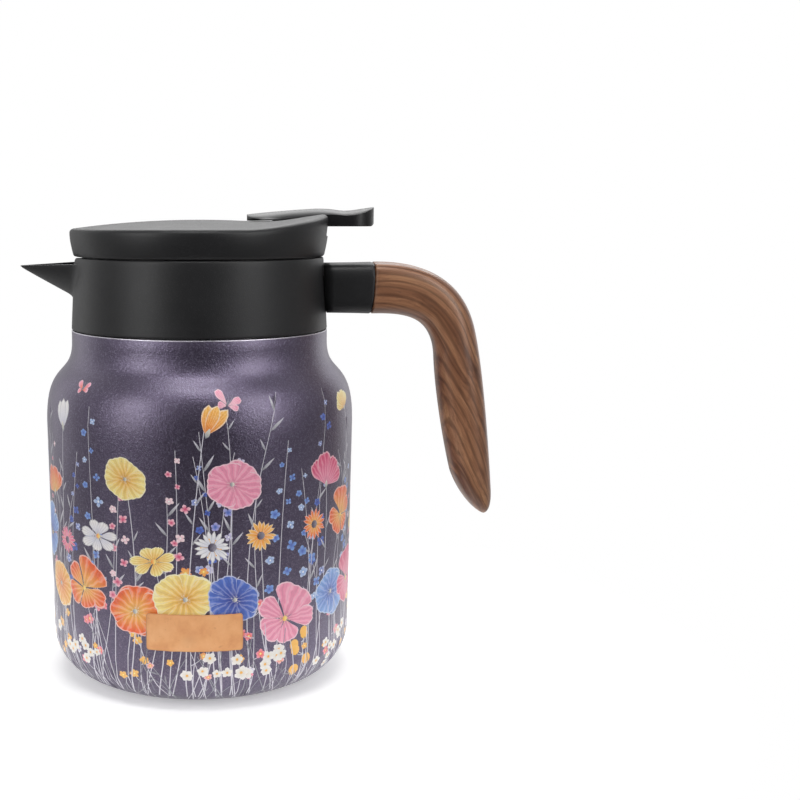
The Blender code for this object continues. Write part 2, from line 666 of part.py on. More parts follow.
def make_spring(steel):
    """A compression spring between the valve disc and the deck, drawn as a bevelled helix."""
    low = 144.6 + CLEARANCE + SPRING_WIRE_RADIUS
    high = DECK_Z - CLEARANCE - SPRING_WIRE_RADIUS
    per_turn = 12
    count = SPRING_TURNS * per_turn
    curve = bpy.data.curves.new("valve_spring", "CURVE")
    curve.dimensions = "3D"
    line = curve.splines.new("POLY")
    line.points.add(count)
    for i, point in enumerate(line.points):
        angle = 2 * math.pi * i / per_turn
        height = low + (high - low) * i / count
        x, y = SPRING_RADIUS * math.cos(angle), SPRING_RADIUS * math.sin(angle)
        point.co = (x * MM, y * MM, height * MM, 1)
    curve.bevel_depth = SPRING_WIRE_RADIUS * MM
    curve.bevel_resolution = 1
    curve.use_fill_caps = True
    curve.materials.append(steel)
    bpy.context.scene.collection.objects.link(bpy.data.objects.new("valve_spring", curve))


# ---------------------------------------------------------------- the whole jug

def main():
    for old in list(bpy.data.objects):
        bpy.data.objects.remove(old)
    painted = material("painted_steel", (0.045, 0.038, 0.06), 0.42, 0.3)
    bare = material("brushed_steel", (0.62, 0.61, 0.60), 0.3, 1.0)
    black = material("matt_black_plastic", (0.022, 0.022, 0.024), 0.55)
    gloss = material("gloss_black_plastic", (0.018, 0.018, 0.02), 0.25)
    silicone = material("grey_silicone", (0.5, 0.5, 0.5), 0.6)
    rubber = material("black_rubber", (0.03, 0.03, 0.03), 0.8)
    leather = material("tan_leatherette", (0.8, 0.42, 0.16), 0.6)
    wood = material("walnut", (0.19, 0.085, 0.045), 0.4)
    brass = material("brass", (0.75, 0.55, 0.25), 0.3, 1.0)
    glass = material("seal_glass", (0.35, 0.4, 0.42), 0.15)

    make_outer_shell(painted)
    make_inner_liner(bare)
    make_base(bare, rubber, glass)
    make_name_patch(leather)
    make_collar(black)
    make_sleeve(black, silicone)
    make_bracket(black, bare)
    make_grip(wood, brass)
    make_lid_cover(black)
    make_stopper(black, silicone, bare)
    make_lever(gloss, bare)
    make_valve(black, silicone, bare)
    make_spring(bare)


main()
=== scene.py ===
"""The finished look of an insulated serving jug with a wildflower print, a pouring lid and a wooden grip.

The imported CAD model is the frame: metres, +Z up, spout along -X and handle along +X. Lengths in this file are
in millimetres, and MM turns them into metres. Angles round the body count from the front (-Y) towards +X.
"""

import math
import random

import bmesh
import bpy
import numpy as np
from mathutils import Matrix, Vector
from mathutils.geometry import delaunay_2d_cdt


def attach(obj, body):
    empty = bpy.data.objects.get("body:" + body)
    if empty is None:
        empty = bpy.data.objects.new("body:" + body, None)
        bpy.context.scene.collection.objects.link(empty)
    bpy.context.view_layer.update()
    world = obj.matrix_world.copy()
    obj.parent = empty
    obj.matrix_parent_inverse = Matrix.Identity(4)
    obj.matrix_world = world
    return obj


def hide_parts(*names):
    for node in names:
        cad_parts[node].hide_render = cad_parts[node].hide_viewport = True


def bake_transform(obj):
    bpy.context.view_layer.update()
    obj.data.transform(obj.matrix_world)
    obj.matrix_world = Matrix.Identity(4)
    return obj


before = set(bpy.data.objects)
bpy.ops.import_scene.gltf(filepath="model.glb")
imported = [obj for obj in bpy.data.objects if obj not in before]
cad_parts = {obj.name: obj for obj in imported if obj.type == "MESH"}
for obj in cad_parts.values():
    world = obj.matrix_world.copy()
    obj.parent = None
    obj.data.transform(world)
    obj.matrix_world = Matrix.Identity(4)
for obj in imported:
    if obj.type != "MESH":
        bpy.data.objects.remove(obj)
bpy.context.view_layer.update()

MM = 0.001

# Body: the CAD's own outline, drawn with more steps
BODY_RADIUS = 60.0
SHELL_BASE_Z = 0.6
BODY_WIDEST_Z = 99.7
CORNER_RADIUS = 16.4
CORNER_TOP_RADIUS = 59.0
BASE_OPENING_RADIUS = 38.5
NECK_RADIUS = 49.75
NECK_LOW_Z = 130.6
NECK_STEP_Z = 135.05
SPIGOT_RADIUS = 46.2
SPIGOT_TOP_Z = 148.1
STEEL_WALL = 0.8
BODY_COLUMNS = 192

# Collar and spout
COLLAR_BASE_Z = 135.35
COLLAR_TOP_Z = 162.7
COLLAR_TOP_RADIUS = 48.2
COLLAR_BORE = 43.0
COLLAR_SHELF_Z = 152.9
LID_SEAT_RADIUS = 45.6
LID_SEAT_Z = 160.5
SPOUT_TIP = 71.0
SPOUT_REACH = 24.7
SPOUT_TOP_Z = 160.3
SPOUT_DROP = 1.0
NOTCH_ANGLES = (8.0, 17.0)
SPOUT_HALF_WIDTH = 17.0
SPOUT_DEPTH = 14.6
SPOUT_POWER = 1.7
SPOUT_HALF_ANGLE = 26.0
SPOUT_FILLET = 2.4
SPOUT_WALL_SHARE = 0.1

# Handle
BRACKET_CENTRE_Z = 150.75
BRACKET_END_X = 67.6
BRACKET_HALF_HEIGHT = 9.85
HANDLE_HALF_WIDTH = 10.0
TENON_HALF = 5.5
TENON_END_X = 83.0
BED_GAP = 0.3
GRIP_GAP = 0.3

# Lid and lever
LID_BASE_Z = 163.1
LID_BASE_RADIUS = 48.5
LID_RIM_RADIUS = 49.8
LID_RIM_Z = 173.4
LID_DOME = 3.5
LID_TAIL_RISE = 5.5
LID_TAIL_START = 0.38
LID_FLARE = 0.13
LID_WALL = 2.0
CHEEK_RISE = 0.75
SLOT_FRONT_X = 27.5
SLOT_HALF_WIDTH = 10.2
SLOT_FLOOR_Z = 170.6
LEVER_TIP_X = 18.3
LEVER_END_X = 67.6
HEAD_RADIUS = 9.8
TAIL_HALF_WIDTH = 8.8
PIVOT_X = 33.0
PIVOT_Z = 171.0
HUB_RADIUS = 4.2
PIN_BORE_RADIUS = 1.65
SPRING_RADIUS = 6.2
SPRING_WIRE = 0.45
SPRING_TURNS = 5
SPRING_Z = (145.35, 160.75)

# Front patch
PATCH_Z = (24.3, 38.0)
PATCH_HALF_WIDTH = 17.4
PATCH_CORNER = 1.1

# Camera: it stands level with the lever's top and looks a little down
CAMERA_PLACE = (21.84, -469.34, 178.92)
CAMERA_TILT = 8.80
CAMERA_LENS = 53.94
CAMERA_SHIFT_X = 0.1806

# Studio: strengths of the white room before and behind the jug, and the floor's painted glow (weaker near the
# jug) and fade by distance (m)
ROOM_FRONT = 0.055
ROOM_BACK = 0.5
FLOOR_SIDE = 6.0
FLOOR_GLOW = (0.34, 0.64)
FLOOR_GLOW_REACH = (0.062, 0.15)
FLOOR_FADE = (0.078, 0.21)


# ---------------------------------------------------------------- node materials

def srgb(red, green, blue):
    """Linear colour of an 8-bit sRGB triple."""
    return tuple(
        c / 3294.6 if c <= 10 else ((c / 255 + 0.055) / 1.055) ** 2.4 for c in (red, green, blue)
    )


class Nodes:
    """A short way of writing node trees: each method adds one node and returns its main output."""

    def __init__(self, name):
        self.material = bpy.data.materials.new(name)
        self.material.use_nodes = True
        self.tree = self.material.node_tree
        self.shader = self.tree.nodes["Principled BSDF"]

    def put(self, kind, inputs=None, output=0, **settings):
        made = self.tree.nodes.new(kind)
        for key, value in settings.items():
            setattr(made, key, value)
        for key, value in (inputs or {}).items():
            self.feed(made.inputs[key], value)
        return made.outputs[output]

    def feed(self, socket, value):
        if isinstance(value, bpy.types.NodeSocket):
            self.tree.links.new(value, socket)
        elif isinstance(value, tuple) and len(value) == 3 and socket.type == "RGBA":
            socket.default_value = (*value, 1.0)
        else:
            socket.default_value = value

    def shade(self, **inputs):
        """Feeds the Principled shader; underscores in a name stand for spaces."""
        for key, value in inputs.items():
            self.feed(self.shader.inputs[key.replace("_", " ")], value)
        return self.material

    def place(self):
        return self.put("ShaderNodeTexCoord", output=3)

    def attribute(self, name, output=0):
        return self.put("ShaderNodeAttribute", output=output, attribute_name=name)

    def stretched(self, vector, scale, turn=(0.0, 0.0, 0.0)):
        return self.put("ShaderNodeMapping", {"Vector": vector, "Scale": scale, "Rotation": turn})

    def noise(self, vector, scale, detail=2.0, roughness=0.5, distortion=0.0):
        return self.put("ShaderNodeTexNoise", {
            "Vector": vector, "Scale": scale, "Detail": detail, "Roughness": roughness,
            "Distortion": distortion,
        })

    def cells(self, vector, scale):
        return self.put("ShaderNodeTexVoronoi", {"Vector": vector, "Scale": scale})

    def diagonal_wave(self, vector, scale, distortion, detail, detail_scale):
        return self.put("ShaderNodeTexWave", {
            "Vector": vector, "Scale": scale, "Distortion": distortion, "Detail": detail,
            "Detail Scale": detail_scale,
        }, output=1, bands_direction="DIAGONAL")

    def maths(self, operation, first, second=0.0):
        return self.put("ShaderNodeMath", {0: first, 1: second}, operation=operation)

    def span(self, value, low, high, new_low=0.0, new_high=1.0):
        return self.put("ShaderNodeMapRange", {
            "Value": value, "From Min": low, "From Max": high, "To Min": new_low, "To Max": new_high,
        })

    def ramp(self, value, stops):
        made = self.put("ShaderNodeValToRGB", {"Fac": value})
        points = made.node.color_ramp.elements
        while len(points) < len(stops):
            points.new(0.5)
        for point, (where, colour) in zip(points, stops):
            point.position = where
            point.color = (*colour, 1.0)
        return made

    def mix(self, factor, first, second, blend="MIX"):
        return self.put("ShaderNodeMix", {0: factor, 6: first, 7: second}, output=2,
                        data_type="RGBA", blend_type=blend)

    def split(self, vector, output):
        return self.put("ShaderNodeSeparateXYZ", {"Vector": vector}, output=output)

    def bump(self, height, strength, distance):
        return self.put("ShaderNodeBump", {"Height": height, "Strength": strength, "Distance": distance * MM})


def moulded_plastic(name, colour, roughness, grain):
    """Moulded plastic: fine spark-eroded grain, slight cloudiness and dust-dulled patches."""
    n = Nodes(name)
    at = n.place()
    fine = n.noise(at, 2600, 3)
    cloud = n.noise(at, 45, 4, 0.6)
    speck = n.span(n.noise(at, 5200, 1), 0.62, 0.78)
    base = n.mix(n.span(cloud, 0.3, 0.7), tuple(c * 0.8 for c in colour), tuple(c * 1.25 for c in colour))
    base = n.mix(n.maths("MULTIPLY", speck, 0.25), base, srgb(96, 96, 98))
    rough = n.span(n.maths("ADD", fine, n.maths("MULTIPLY", cloud, 0.5)), 0.5, 1.0,
                   roughness - 0.06, roughness + 0.06)
    return n.shade(Base_Color=base, Roughness=rough, Normal=n.bump(fine, grain, 0.06), Specular_IOR_Level=0.5)


def bare_steel():
    """Stainless steel with fine turning lines round the axis."""
    n = Nodes("brushed_steel_look")
    at = n.place()
    lines = n.noise(n.stretched(at, (60, 60, 9000)), 1, 3, 0.6)
    patch = n.noise(at, 90, 3)
    base = n.mix(lines, srgb(176, 176, 178), srgb(214, 214, 216))
    rough = n.span(n.maths("ADD", lines, patch), 0.6, 1.4, 0.2, 0.38)
    return n.shade(Base_Color=base, Roughness=rough, Metallic=1.0, Normal=n.bump(lines, 0.15, 0.02))


def soft_rubber(name, colour, roughness):
    n = Nodes(name)
    at = n.place()
    fine = n.noise(at, 1800, 3)
    dust = n.noise(at, 130, 4, 0.65)
    base = n.mix(n.span(dust, 0.35, 0.75), colour, tuple(min(1.0, c * 1.35 + 0.01) for c in colour))
    return n.shade(Base_Color=base, Roughness=n.span(fine, 0.3, 0.7, roughness - 0.08, roughness + 0.08),
                   Normal=n.bump(fine, 0.25, 0.05))


def turned_brass():
    n = Nodes("turned_brass_look")
    at = n.place()
    lines = n.noise(n.stretched(at, (9000, 80, 80)), 1, 2)
    base = n.mix(lines, srgb(176, 138, 70), srgb(222, 190, 118))
    return n.shade(Base_Color=base, Metallic=1.0, Roughness=n.span(lines, 0.3, 0.7, 0.22, 0.38))


def seal_glass():
    n = Nodes("seal_glass_look")
    cloud = n.noise(n.place(), 900, 3)
    return n.shade(Base_Color=n.mix(cloud, srgb(140, 150, 152), srgb(176, 186, 186)), Roughness=0.12, IOR=1.5)


def tan_leatherette():
    """Pressed tan leatherette with pores and pits, a faint worn middle and a darker cut edge."""
    n = Nodes("tan_leatherette_look")
    at = n.place()
    pores = n.cells(at, 1500)
    pits = n.span(n.noise(at, 620, 2, 0.7), 0.64, 0.76)
    cloud = n.noise(at, 120, 4, 0.6)
    base = n.ramp(cloud, (
        (0.3, srgb(218, 149, 95)), (0.5, srgb(232, 168, 113)), (0.7, srgb(239, 181, 127)),
    ))
    base = n.mix(n.maths("MULTIPLY", pits, 0.3), base, srgb(176, 108, 64))
    from_middle = n.put("ShaderNodeVectorMath", {
        0: n.put("ShaderNodeMapping", {"Vector": at, "Location": (0.0015, 0.0597, -0.0295)}),
    }, output=1, operation="LENGTH")
    worn = n.maths("MULTIPLY", n.span(from_middle, 0.0005, 0.0045, 0.28, 0.0), n.span(cloud, 0.3, 0.6))
    base = n.mix(worn, base, srgb(184, 118, 76))
    base = n.mix(n.maths("MULTIPLY", n.attribute("edge", 2), 0.5), base, srgb(170, 104, 62))
    height = n.maths("SUBTRACT", n.maths("MULTIPLY", pores, 0.6), pits)
    return n.shade(Base_Color=base, Roughness=n.span(cloud, 0.3, 0.7, 0.52, 0.64),
                   Normal=n.bump(height, 0.3, 0.07), Sheen_Weight=0.05)


def walnut():
    """Satin walnut, sawn from a plank: its figure follows the arm, then runs slantwise across the shank."""
    n = Nodes("walnut_look")
    grain = n.attribute("grain", 1)
    along, depth, across = (n.split(grain, k) for k in range(3))
    past = n.maths("MAXIMUM", n.maths("SUBTRACT", along, 28.0), 0.0)
    slant = n.maths("DIVIDE", n.maths("MULTIPLY", past, past), n.maths("ADD", past, 16.0))
    sway = n.noise(n.stretched(grain, (0.02, 0.05, 0.05)), 1, 2, 0.5)
    shift = n.maths("SUBTRACT", n.span(sway, 0.0, 1.0, 4.0, -4.0), n.maths("MULTIPLY", slant, 0.4))
    plank = n.put("ShaderNodeCombineXYZ", {
        "X": along,
        "Y": n.maths("ADD", depth, n.span(sway, 0.0, 1.0, -6.0, 6.0)),
        "Z": n.maths("ADD", across, shift),
    })
    bands = n.noise(n.stretched(plank, (0.01, 0.14, 0.22)), 1, 4, 0.55, 0.5)
    lines = n.diagonal_wave(n.stretched(plank, (0.004, 0.16, 0.22), (0.0, 0.0, 0.35)), 1.0, 5.0, 3.0, 1.4)
    fibre = n.noise(n.stretched(plank, (0.03, 1.4, 1.7)), 1, 3, 0.6)
    pores = n.noise(n.stretched(plank, (0.16, 5.0, 5.0)), 1, 3, 0.6)
    base = n.ramp(bands, (
        (0.3, srgb(90, 57, 39)), (0.43, srgb(131, 88, 63)),
        (0.56, srgb(161, 113, 82)), (0.72, srgb(190, 142, 104)),
    ))
    base = n.mix(n.maths("MULTIPLY", n.span(lines, 0.55, 1.0), 0.5), base, srgb(66, 38, 25))
    base = n.mix(n.span(fibre, 0.42, 0.66, 0.0, 0.34), base, srgb(74, 44, 29))
    open_pore = n.span(pores, 0.6, 0.72)
    base = n.mix(n.maths("MULTIPLY", open_pore, 0.5), base, srgb(50, 29, 19))
    # Painted shade: the grip turns darker towards its lower end, from 50 to 110 mm along it.
    base = n.mix(n.span(along, 50.0, 110.0, 0.0, 0.22), base, srgb(78, 48, 26))
    height = n.maths("SUBTRACT", n.maths("MULTIPLY", fibre, 0.3), open_pore)
    rough = n.span(n.maths("ADD", bands, open_pore), 0.3, 1.3, 0.34, 0.56)
    return n.shade(Base_Color=base, Roughness=rough, Normal=n.bump(height, 0.25, 0.08),
                   Coat_Weight=0.2, Coat_Roughness=0.28)


def painted_steel():
    """Dark plum powder paint with a fine glittering grain, a pale band at the top edge that is partly bare
    steel and partly a painted highlight, and the printed flowers that lie in its surface.

    The mesh carries the print: ink (1 on a flower), tone_a and tone_b (colours of a petal's base and tip),
    and petal (how far along the petal, how far across it, and how strongly it is veined).
    """
    n = Nodes("painted_steel_look")
    at = n.place()
    ink = n.attribute("ink", 2)
    petal = n.attribute("petal", 1)
    along, across, veined = (n.split(petal, k) for k in range(3))

    grain = n.noise(at, 2500, 2, 0.6)
    coarse = n.noise(at, 1150, 3, 0.6)
    cloud = n.noise(at, 28, 3)
    paint = n.mix(n.span(cloud, 0.3, 0.7), srgb(91, 82, 103), srgb(103, 94, 117))
    glitter = n.span(n.maths("ADD", grain, n.maths("MULTIPLY", coarse, 0.6)), 0.78, 1.1)
    paint = n.mix(n.maths("MULTIPLY", glitter, 0.3), paint, srgb(196, 188, 212))
    # Painted highlight: a pale band round the shell's top edge. The rolled rim there is bare steel, and its
    # pale colour also stands for the bright line of light the edge catches.
    lip = n.span(n.split(at, 2), 0.13458, 0.13472)
    paint = n.mix(lip, paint, srgb(214, 210, 220))

    wash = n.noise(at, 620, 4, 0.65)
    fade = n.span(n.maths("ADD", along, n.span(wash, 0.3, 0.7, -0.08, 0.08)), 0.12, 0.9)
    flower = n.mix(fade, n.attribute("tone_a"), n.attribute("tone_b"))
    fan = n.maths("DIVIDE", across, n.maths("ADD", along, 0.3))
    drift = n.span(n.noise(at, 260, 2), 0.3, 0.7, -1.5, 1.5)
    pleats = n.maths("SINE", n.maths("ADD", n.maths("MULTIPLY", fan, 13.0), drift))
    veins = n.maths("SINE", n.maths("ADD", n.maths("MULTIPLY", fan, 41.0), drift))
    fold = n.maths("MULTIPLY", n.span(pleats, -0.2, 1.0), n.maths("MULTIPLY", veined, 0.26))
    flower = n.mix(fold, flower, (0.55, 0.36, 0.42), "MULTIPLY")
    crest = n.maths("MULTIPLY", n.span(pleats, -0.3, -1.0), n.maths("MULTIPLY", veined, 0.2))
    flower = n.mix(crest, flower, (1.0, 0.95, 0.94))
    line = n.maths("MULTIPLY", n.span(veins, 0.4, 1.0), n.maths("MULTIPLY", veined, 0.15))
    flower = n.mix(line, flower, (0.45, 0.32, 0.38), "MULTIPLY")
    heart = n.maths("MULTIPLY", n.span(along, 0.05, 0.34, 0.42, 0.0), veined)
    flower = n.mix(heart, flower, (0.52, 0.36, 0.42), "MULTIPLY")
    flower = n.mix(n.maths("MULTIPLY", n.span(wash, 0.52, 0.75), 0.12), flower, (1.0, 1.0, 1.0))
    shown = n.maths("MULTIPLY", ink, n.span(grain, 0.22, 0.34, 0.55, 1.0))
    base = n.mix(shown, paint, flower)

    metallic = n.span(ink, 0.0, 1.0, 0.84, 0.0)
    rough = n.maths("ADD", n.span(grain, 0.3, 0.7, 0.3, 0.42), n.maths("MULTIPLY", ink, 0.04))
    normal = n.bump(n.maths("ADD", grain, n.maths("MULTIPLY", coarse, 1.4)), 0.9, 0.11)
    return n.shade(Base_Color=base, Metallic=metallic, Roughness=rough, Normal=normal,
                   Coat_Weight=0.4, Coat_Roughness=0.3)


# ---------------------------------------------------------------- plain mesh building

def arc(centre_r, centre_z, radius, start, end, steps):
    """Points round a centre, from start to end degrees; 0 points along +r and 90 along +z."""
    angles = [math.radians(start + (end - start) * i / steps) for i in range(steps + 1)]
    return [(centre_r + radius * math.cos(a), centre_z + radius * math.sin(a)) for a in angles]


def bezier(p0, p1, p2, p3, steps):
    """Points on a cubic curve, both ends included."""
    points = []
    for i in range(steps + 1):
        t = i / steps
        weights = ((1 - t) ** 3, 3 * t * (1 - t) ** 2, 3 * t * t * (1 - t), t ** 3)
        points.append(tuple(sum(w * p[k] for w, p in zip(weights, (p0, p1, p2, p3))) for k in range(len(p0))))
    return points


def superellipse(half_a, half_b, power, count):
    """Points of a rounded box section: power 2 is an ellipse, and larger powers are squarer."""
    points = []
    for i in range(count):
        angle = 2 * math.pi * (i + 0.5) / count
        c, s = math.cos(angle), math.sin(angle)
        points.append((
            half_a * math.copysign(abs(c) ** (2 / power), c),
            half_b * math.copysign(abs(s) ** (2 / power), s),
        ))
    return points


def link_object(name, data):
    obj = bpy.data.objects.new(name, data)
    bpy.context.scene.collection.objects.link(obj)
    return obj


def mesh_object(name, vertices, faces, finish, sharp):
    """An object from millimetre vertices, shaded smooth, with the edges over sharp degrees kept."""
    bm = bmesh.new()
    made = [bm.verts.new(v) for v in vertices]
    for face in faces:
        bm.faces.new([made[i] for i in face])
    bmesh.ops.remove_doubles(bm, verts=bm.verts, dist=1e-4)
    bmesh.ops.dissolve_degenerate(bm, edges=bm.edges, dist=1e-4)
    bmesh.ops.recalc_face_normals(bm, faces=bm.faces)
    bmesh.ops.scale(bm, vec=(MM, MM, MM), verts=bm.verts)
    mesh = bpy.data.meshes.new(name)
    bm.to_mesh(mesh)
    bm.free()
    mesh.shade_smooth()
    mesh.set_sharp_from_angle(angle=math.radians(sharp))
    if finish:
        mesh.materials.append(finish)
    return link_object(name, mesh)


def skin(name, rows, finish, sharp, caps=(False, False), loop=False):
    """Skins closed rings of equal length.

    A one-point ring closes its end, caps fill the first and last rings, and loop joins the last to the first.
    """
    vertices, starts = [], []
    for row in rows:
        starts.append(len(vertices))
        vertices += row
    faces = []
    pairs = list(zip(range(len(rows)), range(1, len(rows))))
    if loop:
        pairs.append((len(rows) - 1, 0))
    for a, b in pairs:
        count = max(len(rows[a]), len(rows[b]))
        for i in range(count):
            j = (i + 1) % count
            if len(rows[a]) == 1:
                faces.append((starts[a], starts[b] + j, starts[b] + i))
            elif len(rows[b]) == 1:
                faces.append((starts[a] + i, starts[a] + j, starts[b]))
            else:
                faces.append((starts[a] + i, starts[a] + j, starts[b] + j, starts[b] + i))
    if caps[0]:
        faces.append([starts[0] + i for i in range(len(rows[0]))])
    if caps[1]:
        faces.append([starts[-1] + i for i in range(len(rows[-1]))])
    return mesh_object(name, vertices, faces, finish, sharp)


def circle(radius, count, centre=(0.0, 0.0), offset=0.0):
    """Points round a centre; offset turns them by a share of one step."""
    turns = [2 * math.pi * (i + offset) / count for i in range(count)]
    return [(centre[0] + radius * math.cos(a), centre[1] + radius * math.sin(a)) for a in turns]


def bar_tool(name, outline, ends):
    """A closed bar across the jug, from its (x, z) outline and its two ends in y."""
    return skin(name, [[(x, y, z) for x, z in outline] for y in ends], None, 35, (True, True))


def box_tool(name, x, y, z, rounding=0.0):
    """A box to cut or join with, from its low and high x, y and z, with rounded edges if asked."""
    bm = bmesh.new()
    bmesh.ops.create_cube(bm, size=1.0)
    size = Vector((x[1] - x[0], y[1] - y[0], z[1] - z[0]))
    bmesh.ops.scale(bm, vec=size, verts=bm.verts)
    if rounding:
        bmesh.ops.bevel(bm, geom=bm.edges, offset=rounding, segments=5, profile=0.5, affect="EDGES")
    centre = Vector((x[0] + x[1], y[0] + y[1], z[0] + z[1])) / 2
    bmesh.ops.translate(bm, vec=centre, verts=bm.verts)
    bmesh.ops.scale(bm, vec=(MM, MM, MM), verts=bm.verts)
    mesh = bpy.data.meshes.new(name)
    bm.to_mesh(mesh)
    bm.free()
    return link_object(name, mesh)


def carve(target, tool, operation="DIFFERENCE"):
    """Cuts the tool out of the target, or joins it on, and removes the tool."""
    change = target.modifiers.new("carve", "BOOLEAN")
    change.operation = operation
    change.object = tool
    change.solver = "EXACT"
    graph = bpy.context.evaluated_depsgraph_get()
    result = bpy.data.meshes.new_from_object(target.evaluated_get(graph))
    target.modifiers.clear()
    old = target.data
    target.data = result
    result.name = target.name
    bpy.data.meshes.remove(old)
    bpy.data.objects.remove(tool)
    return target


# ---------------------------------------------------------------- the printed meadow

# Inks
PLUM = srgb(62, 50, 74)
SHADE = srgb(150, 146, 160)
SAGE = srgb(150, 152, 158)
PALE_STEM = srgb(216, 213, 222)
DEEP_STEM = srgb(122, 119, 132)
WHITE = srgb(246, 244, 242)
CREAM = srgb(236, 230, 214)
FROST = srgb(218, 219, 234)
YELLOW = srgb(254, 234, 146)
GOLD = srgb(246, 186, 74)
APRICOT = srgb(254, 196, 96)
ORANGE = srgb(248, 146, 58)
FLAME = srgb(248, 104, 46)
PINK = srgb(248, 158, 186)
ROSE = srgb(230, 86, 130)
BLUSH = srgb(250, 206, 216)
SKY = srgb(136, 176, 234)
BLUE = srgb(84, 118, 206)
NAVY = srgb(56, 76, 168)
LILAC = srgb(186, 180, 226)

# Petal tips as (along, across), the width of a petal's rim, and the smallest flower that has one
WAVY_TIP = (
    (0.965, 0.64), (1.0, 0.44), (0.975, 0.2), (1.01, 0.0), (0.98, -0.22), (1.0, -0.45), (0.965, -0.64),
)
TOOTHED_TIP = ((1.0, 0.34), (0.94, 0.15), (1.03, 0.0), (0.94, -0.15), (1.0, -0.34))
RIM = 0.3
RIMMED_FROM = 7.0
LEAF_SPREAD = (24, 44)

# Layout: where the plants are rooted, and each butterfly's angle, height, size, tones and lean
GROUND_Z = 5.0
GRASS_ROOT_Z = 3.0
MEADOW_SEED = 44
MEADOW_COLUMNS = 18
MEADOW_TURN = -174.0
BUTTERFLIES = (
    (12, 113, 9.0, (BLUSH, PINK), 10), (-46, 116, 7.0, (FLAME, PINK), 30), (140, 110, 9.0, (SKY, BLUE), -10),
)


def petal_outline(widest, power, steps, ruffle=0.0, tip=((1.0, 0.0),)):
    """A petal from its base (0, 0) to its tip (1, 0): along from 0 to 1, and across from -1 to 1."""
    exponent = math.log(0.5) / math.log(widest)
    right, left = [], []
    for i in range(1, steps):
        t = i / steps
        half = math.sin(math.pi * t ** exponent) ** power
        wobble = 1 + ruffle * math.sin(12 * t + 1.0)
        right.append((t, half * wobble))
        left.append((t, -half * (2 - wobble)))
    return [(0.0, 0.0)] + right + list(tip) + left[::-1]


def disc_outline(steps):
    """A round dot, with along running from its near edge to its far edge."""
    turns = [2 * math.pi * i / steps for i in range(steps)]
    return [(0.5 + 0.5 * math.cos(a), math.sin(a)) for a in turns]


def between(first, second, share):
    """A colour the given share of the way from the first to the second."""
    return tuple(a + (b - a) * share for a, b in zip(first, second))


FAN = petal_outline(0.75, 0.5, 8, 0.04, WAVY_TIP)
TOOTHED = petal_outline(0.72, 0.62, 6, 0.0, TOOTHED_TIP)
ROUND = petal_outline(0.6, 0.6, 7)
SMALL = petal_outline(0.6, 0.6, 4)
SLIM = petal_outline(0.62, 0.7, 5)
LEAF = petal_outline(0.4, 1.0, 5)
DOT = disc_outline(10)
SMALL_DOT = disc_outline(6)


